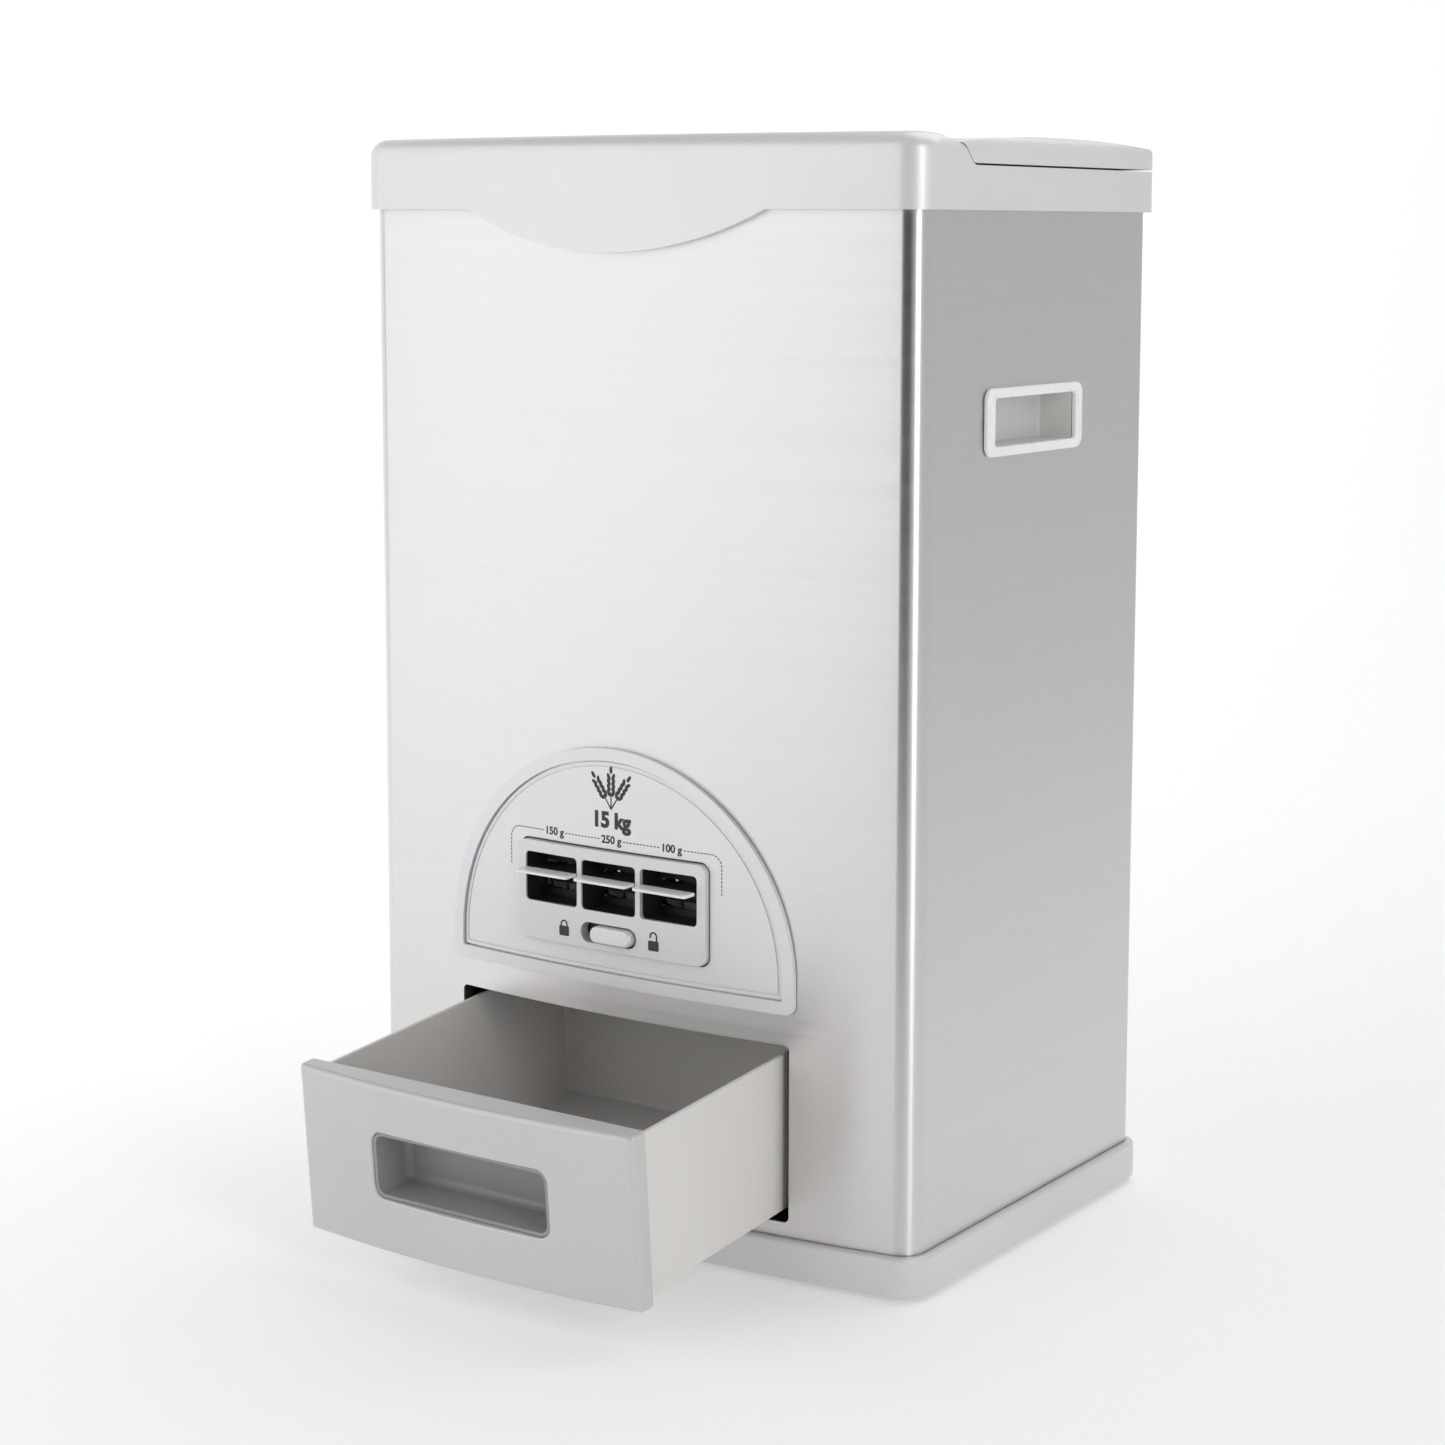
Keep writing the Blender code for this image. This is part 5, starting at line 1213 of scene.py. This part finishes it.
def padlock(x, z, is_open):
    """Outlines of a small padlock: body and shackle."""
    width, height, corner = PADLOCK_BODY
    body = centred(x, z - PADLOCK_DROP, width, height, corner, segments=3)
    inner, outer = SHACKLE_INNER, SHACKLE_OUTER
    low = z + SHACKLE_FOOT - SHACKLE_LAP
    high = z + SHACKLE_SPRING + (SHACKLE_LIFT if is_open else 0.0)
    left_low = z + (OPEN_FOOT if is_open else SHACKLE_FOOT)
    shackle = [(x + outer, low)] + arc((x, high), outer, 0, 180, 12) + [(x - outer, left_low)]
    shackle += [(x - inner, left_low)] + arc((x, high), inner, 180, 0, 12) + [(x + inner, low)]
    grow = PADLOCK_SCALE
    return [[(x + (u - x) * grow, z + (v - z) * grow) for u, v in outline] for outline in (body, shackle)]


def dash_tree(name, ink):
    """Geometry nodes that lay dashes along a line: even spacing, fixed size."""
    tree = bpy.data.node_groups.new(name, "GeometryNodeTree")
    face = tree.interface
    face.new_socket("Line", in_out="INPUT", socket_type="NodeSocketGeometry")
    for socket in ("Pitch", "Dash Length", "Dash Width", "Depth"):
        face.new_socket(socket, in_out="INPUT", socket_type="NodeSocketFloat")
    face.new_socket("Dashes", in_out="OUTPUT", socket_type="NodeSocketGeometry")
    nodes = tree.nodes
    start = nodes.new("NodeGroupInput")
    end = nodes.new("NodeGroupOutput")
    line = nodes.new("GeometryNodeMeshToCurve")
    even = nodes.new("GeometryNodeResampleCurve")
    even.mode = "LENGTH"
    size = nodes.new("ShaderNodeCombineXYZ")
    dash = nodes.new("GeometryNodeMeshCube")
    tangent = nodes.new("GeometryNodeInputTangent")
    turn = nodes.new("FunctionNodeAlignRotationToVector")
    turn.axis = "X"
    turn.pivot_axis = "Y"
    place = nodes.new("GeometryNodeInstanceOnPoints")
    real = nodes.new("GeometryNodeRealizeInstances")
    paint = nodes.new("GeometryNodeSetMaterial")
    paint.inputs["Material"].default_value = ink
    wire(
        tree,
        (start, "Line", line, "Mesh"),
        (line, "Curve", even, "Curve"),
        (start, "Pitch", even, "Length"),
        (start, "Dash Length", size, "X"),
        (start, "Depth", size, "Y"),
        (start, "Dash Width", size, "Z"),
        (size, "Vector", dash, "Size"),
        (tangent, "Tangent", turn, "Vector"),
        (even, "Curve", place, "Points"),
        (dash, "Mesh", place, "Instance"),
        (turn, "Rotation", place, "Rotation"),
        (place, "Instances", real, "Geometry"),
        (real, "Geometry", paint, "Geometry"),
        (paint, "Geometry", end, "Dashes"),
    )
    return tree


def polyline(name, lines):
    """Mesh of open lines in X and Z."""
    mesh = bpy.data.meshes.new(name)
    points, edges = [], []
    for line in lines:
        first = len(points)
        points += [(x, 0.0, z) for x, z in line]
        edges += [(first + index, first + index + 1) for index in range(len(line) - 1)]
    mesh.from_pydata(points, edges, [])
    return add(name, mesh)


def set_inputs(change, values):
    """Set a node modifier's inputs by name."""
    for item in change.node_group.interface.items_tree:
        if item.item_type == "SOCKET" and item.in_out == "INPUT" and item.name in values:
            change[item.identifier] = values[item.name]


def make_marks():
    """Dose numbers, dashed guide lines, capacity, grain sign and the lock's signs."""
    plate = PLATE_PROUD
    for dose in DOSES:
        x = lever_place(dose)
        lettering(f"label_{dose}", f"{dose} g", x, LABEL_Z, LABEL_HEIGHT, plate, INK, LABEL_BOLD)
    lettering("label_capacity", "15 kg", 0, CAPACITY_Z, CAPACITY_HEIGHT, plate, INK, CAPACITY_BOLD)
    for name, lean in (("left", -EAR_LEAN), ("middle", 0), ("right", EAR_LEAN)):
        mark(f"sign_grain_{name}", ear_of_grain(lean), plate, INK)
    pitch = lever_place("250") - lever_place("150")
    side, bend, gap, level = GUIDE_SIDE, GUIDE_BEND, GUIDE_GAP, LABEL_Z
    left = [(-side, GUIDE_FOOT)] + arc((bend - side, level - bend), bend, 180, 90, segments=10)
    left.append((-pitch - gap, level))
    right = [(pitch + gap, level)] + arc((side - bend, level - bend), bend, 90, 0, segments=10)
    right.append((side, GUIDE_FOOT))
    between = [[(-pitch + gap, level), (-gap, level)], [(gap, level), (pitch - gap, level)]]
    dashes = polyline("guide_dashes", [left, right] + between)
    change = dashes.modifiers.new("dashes", "NODES")
    change.node_group = dash_tree("dash_line", INK)
    set_inputs(change, DASHES)
    settle(dashes)
    lay_on(dashes.data, plate + GUIDE_PROUD)
    dress(dashes, INK)
    stand_for(dashes, "cabinet", "dark_plastic")
    knob_low, knob_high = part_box("lock_knob")
    lock_z = (knob_low.z + knob_high.z) / 2
    mark("sign_closed", padlock(-PADLOCK_X, lock_z, False), MODULE_PROUD, INK)
    mark("sign_open", padlock(PADLOCK_X, lock_z, True), MODULE_PROUD, INK)


# ---------------------------------------------------------------- kept nodes

def keep_rest():
    """Nodes whose shape is right keep their mesh and get a worked finish."""
    slots = {entry["node"]: entry["material_slot"] for entry in frame["record"]["subparts"]}
    for name, node in frame["nodes"].items():
        finish = FINISHES[slots[name]]
        for slot in node.material_slots:
            slot.material = finish
        if not node.material_slots:
            node.data.materials.append(finish)


# ---------------------------------------------------------------- studio

AIM_HEIGHT = 0.30            # the lights face this height on the cabinet's axis
PAPER_SHADE = 0.82
PAPER_GLOW = (("From Min", -1.4), ("From Max", 0.9), ("To Min", 0.50), ("To Max", 0.12))
SWEEP_RADIUS = 4.5
SWEEP_BEND = 1.5
SWEEP_TOP = 4.0
BEND_STEPS = 8
SWEEP_START, SWEEP_TURN, SWEEP_STEPS = 75, 210, 48
GROUND_LAP = 0.02
GROUND_DROP = 0.00005
GROUND_SIDES = 96
FLAG_SHADE = 0.03
FLAG_RADIUS = 1.1
FLAG_START, FLAG_TURN, FLAG_STEPS = 4, 38, 8
FLAG_HEIGHTS = (0.02, 1.6)
WORLD_STRENGTH = 0.28
CAMERA_PLACE = (0.9198, REAR - 1.4626, 0.5486)
CAMERA_YAW, CAMERA_PITCH, CAMERA_ROLL = 0.592, 0.125, 0.004


def softbox(name, azimuth, distance, height, size, power):
    """Area light that faces the cabinet; azimuth is from -Y towards +X, in degrees."""
    lamp = bpy.data.lights.new(name, "AREA")
    lamp.shape = "RECTANGLE"
    lamp.size, lamp.size_y = size
    lamp.energy = power
    light = bpy.data.objects.new(name, lamp)
    angle = math.radians(azimuth)
    light.location = (distance * math.sin(angle), -distance * math.cos(angle), height)
    aim = Vector((0, 0, AIM_HEIGHT)) - light.location
    light.rotation_euler = aim.to_track_quat("-Z", "Y").to_euler()
    light.visible_camera = False
    bpy.context.scene.collection.objects.link(light)


def make_floor():
    """Pale floor that sweeps up behind the cabinet and glows a little more on its left."""
    shade = (PAPER_SHADE, PAPER_SHADE, PAPER_SHADE)
    pale, shader = new_finish("studio_floor", shade, roughness=0.9)
    shader.inputs["Emission Color"].default_value = (1, 1, 1, 1)
    place = pale.node_tree.nodes.new("ShaderNodeTexCoord")
    split = pale.node_tree.nodes.new("ShaderNodeSeparateXYZ")
    glow = pale.node_tree.nodes.new("ShaderNodeMapRange")
    for socket, value in PAPER_GLOW:
        glow.inputs[socket].default_value = value
    wire(
        pale.node_tree,
        (place, "Object", split, "Vector"),
        (split, "X", glow, "Value"),
        (glow, "Result", shader, "Emission Strength"),
    )
    flat = SWEEP_RADIUS - SWEEP_BEND
    profile = [(flat, 0.0)]
    for step in range(1, BEND_STEPS + 1):
        angle = math.pi / 2 * step / BEND_STEPS
        profile.append((flat + SWEEP_BEND * math.sin(angle), SWEEP_BEND - SWEEP_BEND * math.cos(angle)))
    profile.append((SWEEP_RADIUS, SWEEP_TOP))
    work = bmesh.new()
    rows = []
    for index in range(SWEEP_STEPS + 1):
        angle = math.radians(SWEEP_START + SWEEP_TURN * index / SWEEP_STEPS)
        rows.append([work.verts.new((r * math.sin(angle), -r * math.cos(angle), z)) for r, z in profile])
    for first, second in zip(rows, rows[1:]):
        for index in range(len(first) - 1):
            work.faces.new((first[index], first[index + 1], second[index + 1], second[index]))
    sweep = from_work("studio_sweep", work)
    disc = bpy.data.meshes.new("studio_ground")
    points = [(x, y, -GROUND_DROP) for x, y in arc((0, 0), flat + GROUND_LAP, 0, 360, GROUND_SIDES)[:-1]]
    disc.from_pydata(points, [], [list(range(GROUND_SIDES))])
    for piece in (sweep, add("studio_ground", disc)):
        piece.data.materials.append(pale)
        piece.data.shade_smooth()


def make_flag():
    """Dark card ahead on the right, seen only in the steel's shine."""
    dark, _ = new_finish("studio_flag", (FLAG_SHADE, FLAG_SHADE, FLAG_SHADE), roughness=0.9)
    flag = bpy.data.meshes.new("studio_flag")
    turns = [math.radians(FLAG_START + FLAG_TURN * step / FLAG_STEPS) for step in range(FLAG_STEPS + 1)]
    feet = [(FLAG_RADIUS * math.sin(turn), -FLAG_RADIUS * math.cos(turn)) for turn in turns]
    points = [(*foot, z) for foot in feet for z in FLAG_HEIGHTS]
    faces = [(2 * step, 2 * step + 2, 2 * step + 3, 2 * step + 1) for step in range(FLAG_STEPS)]
    flag.from_pydata(points, [], faces)
    flag.materials.append(dark)
    card = add("studio_flag", flag)
    card.visible_camera = False
    card.visible_shadow = False
    card.visible_diffuse = False


def make_light():
    """Three softboxes, a pale world and a plain view of the colours."""
    softbox("key_softbox", -36, distance=2.3, height=1.15, size=(3.4, 2.4), power=27)
    softbox("strip_softbox", 64, distance=2.1, height=0.8, size=(0.5, 1.8), power=12)
    softbox("top_softbox", 160, distance=1.2, height=2.6, size=(2.4, 2.4), power=26)
    world = bpy.data.worlds.new("studio_world")
    world.use_nodes = True
    world.node_tree.nodes["Background"].inputs["Color"].default_value = (1, 1, 1, 1)
    world.node_tree.nodes["Background"].inputs["Strength"].default_value = WORLD_STRENGTH
    bpy.context.scene.world = world
    bpy.context.scene.view_settings.view_transform = "Standard"


def make_camera():
    """Camera at the front right, a little above the cabinet's middle."""
    camera_data = bpy.data.cameras.new("camera")
    camera_data.lens = 71.9
    camera_data.sensor_width = 36
    camera_data.shift_x = -0.0431
    camera_data.shift_y = -0.0917
    camera = bpy.data.objects.new("camera", camera_data)
    camera.location = CAMERA_PLACE
    turn = Matrix.Rotation(CAMERA_YAW, 3, "Z") @ Matrix.Rotation(math.pi / 2 - CAMERA_PITCH, 3, "X")
    camera.rotation_euler = (turn @ Matrix.Rotation(CAMERA_ROLL, 3, "Z")).to_euler()
    bpy.context.scene.collection.objects.link(camera)
    bpy.context.scene.camera = camera


make_camera()
keep_rest()
make_plinth()
make_feet()
make_body()
make_rear_screws()
make_collar()
make_lid()
make_handles()
make_fascia()
make_module()
make_recess()
make_levers()
make_lock()
DRAWER_PLACE = drawer_frame()
make_drawer_box(DRAWER_PLACE)
make_drawer_front(DRAWER_PLACE)
make_drawer_grip(DRAWER_PLACE)
make_marks()
make_floor()
make_flag()
make_light()
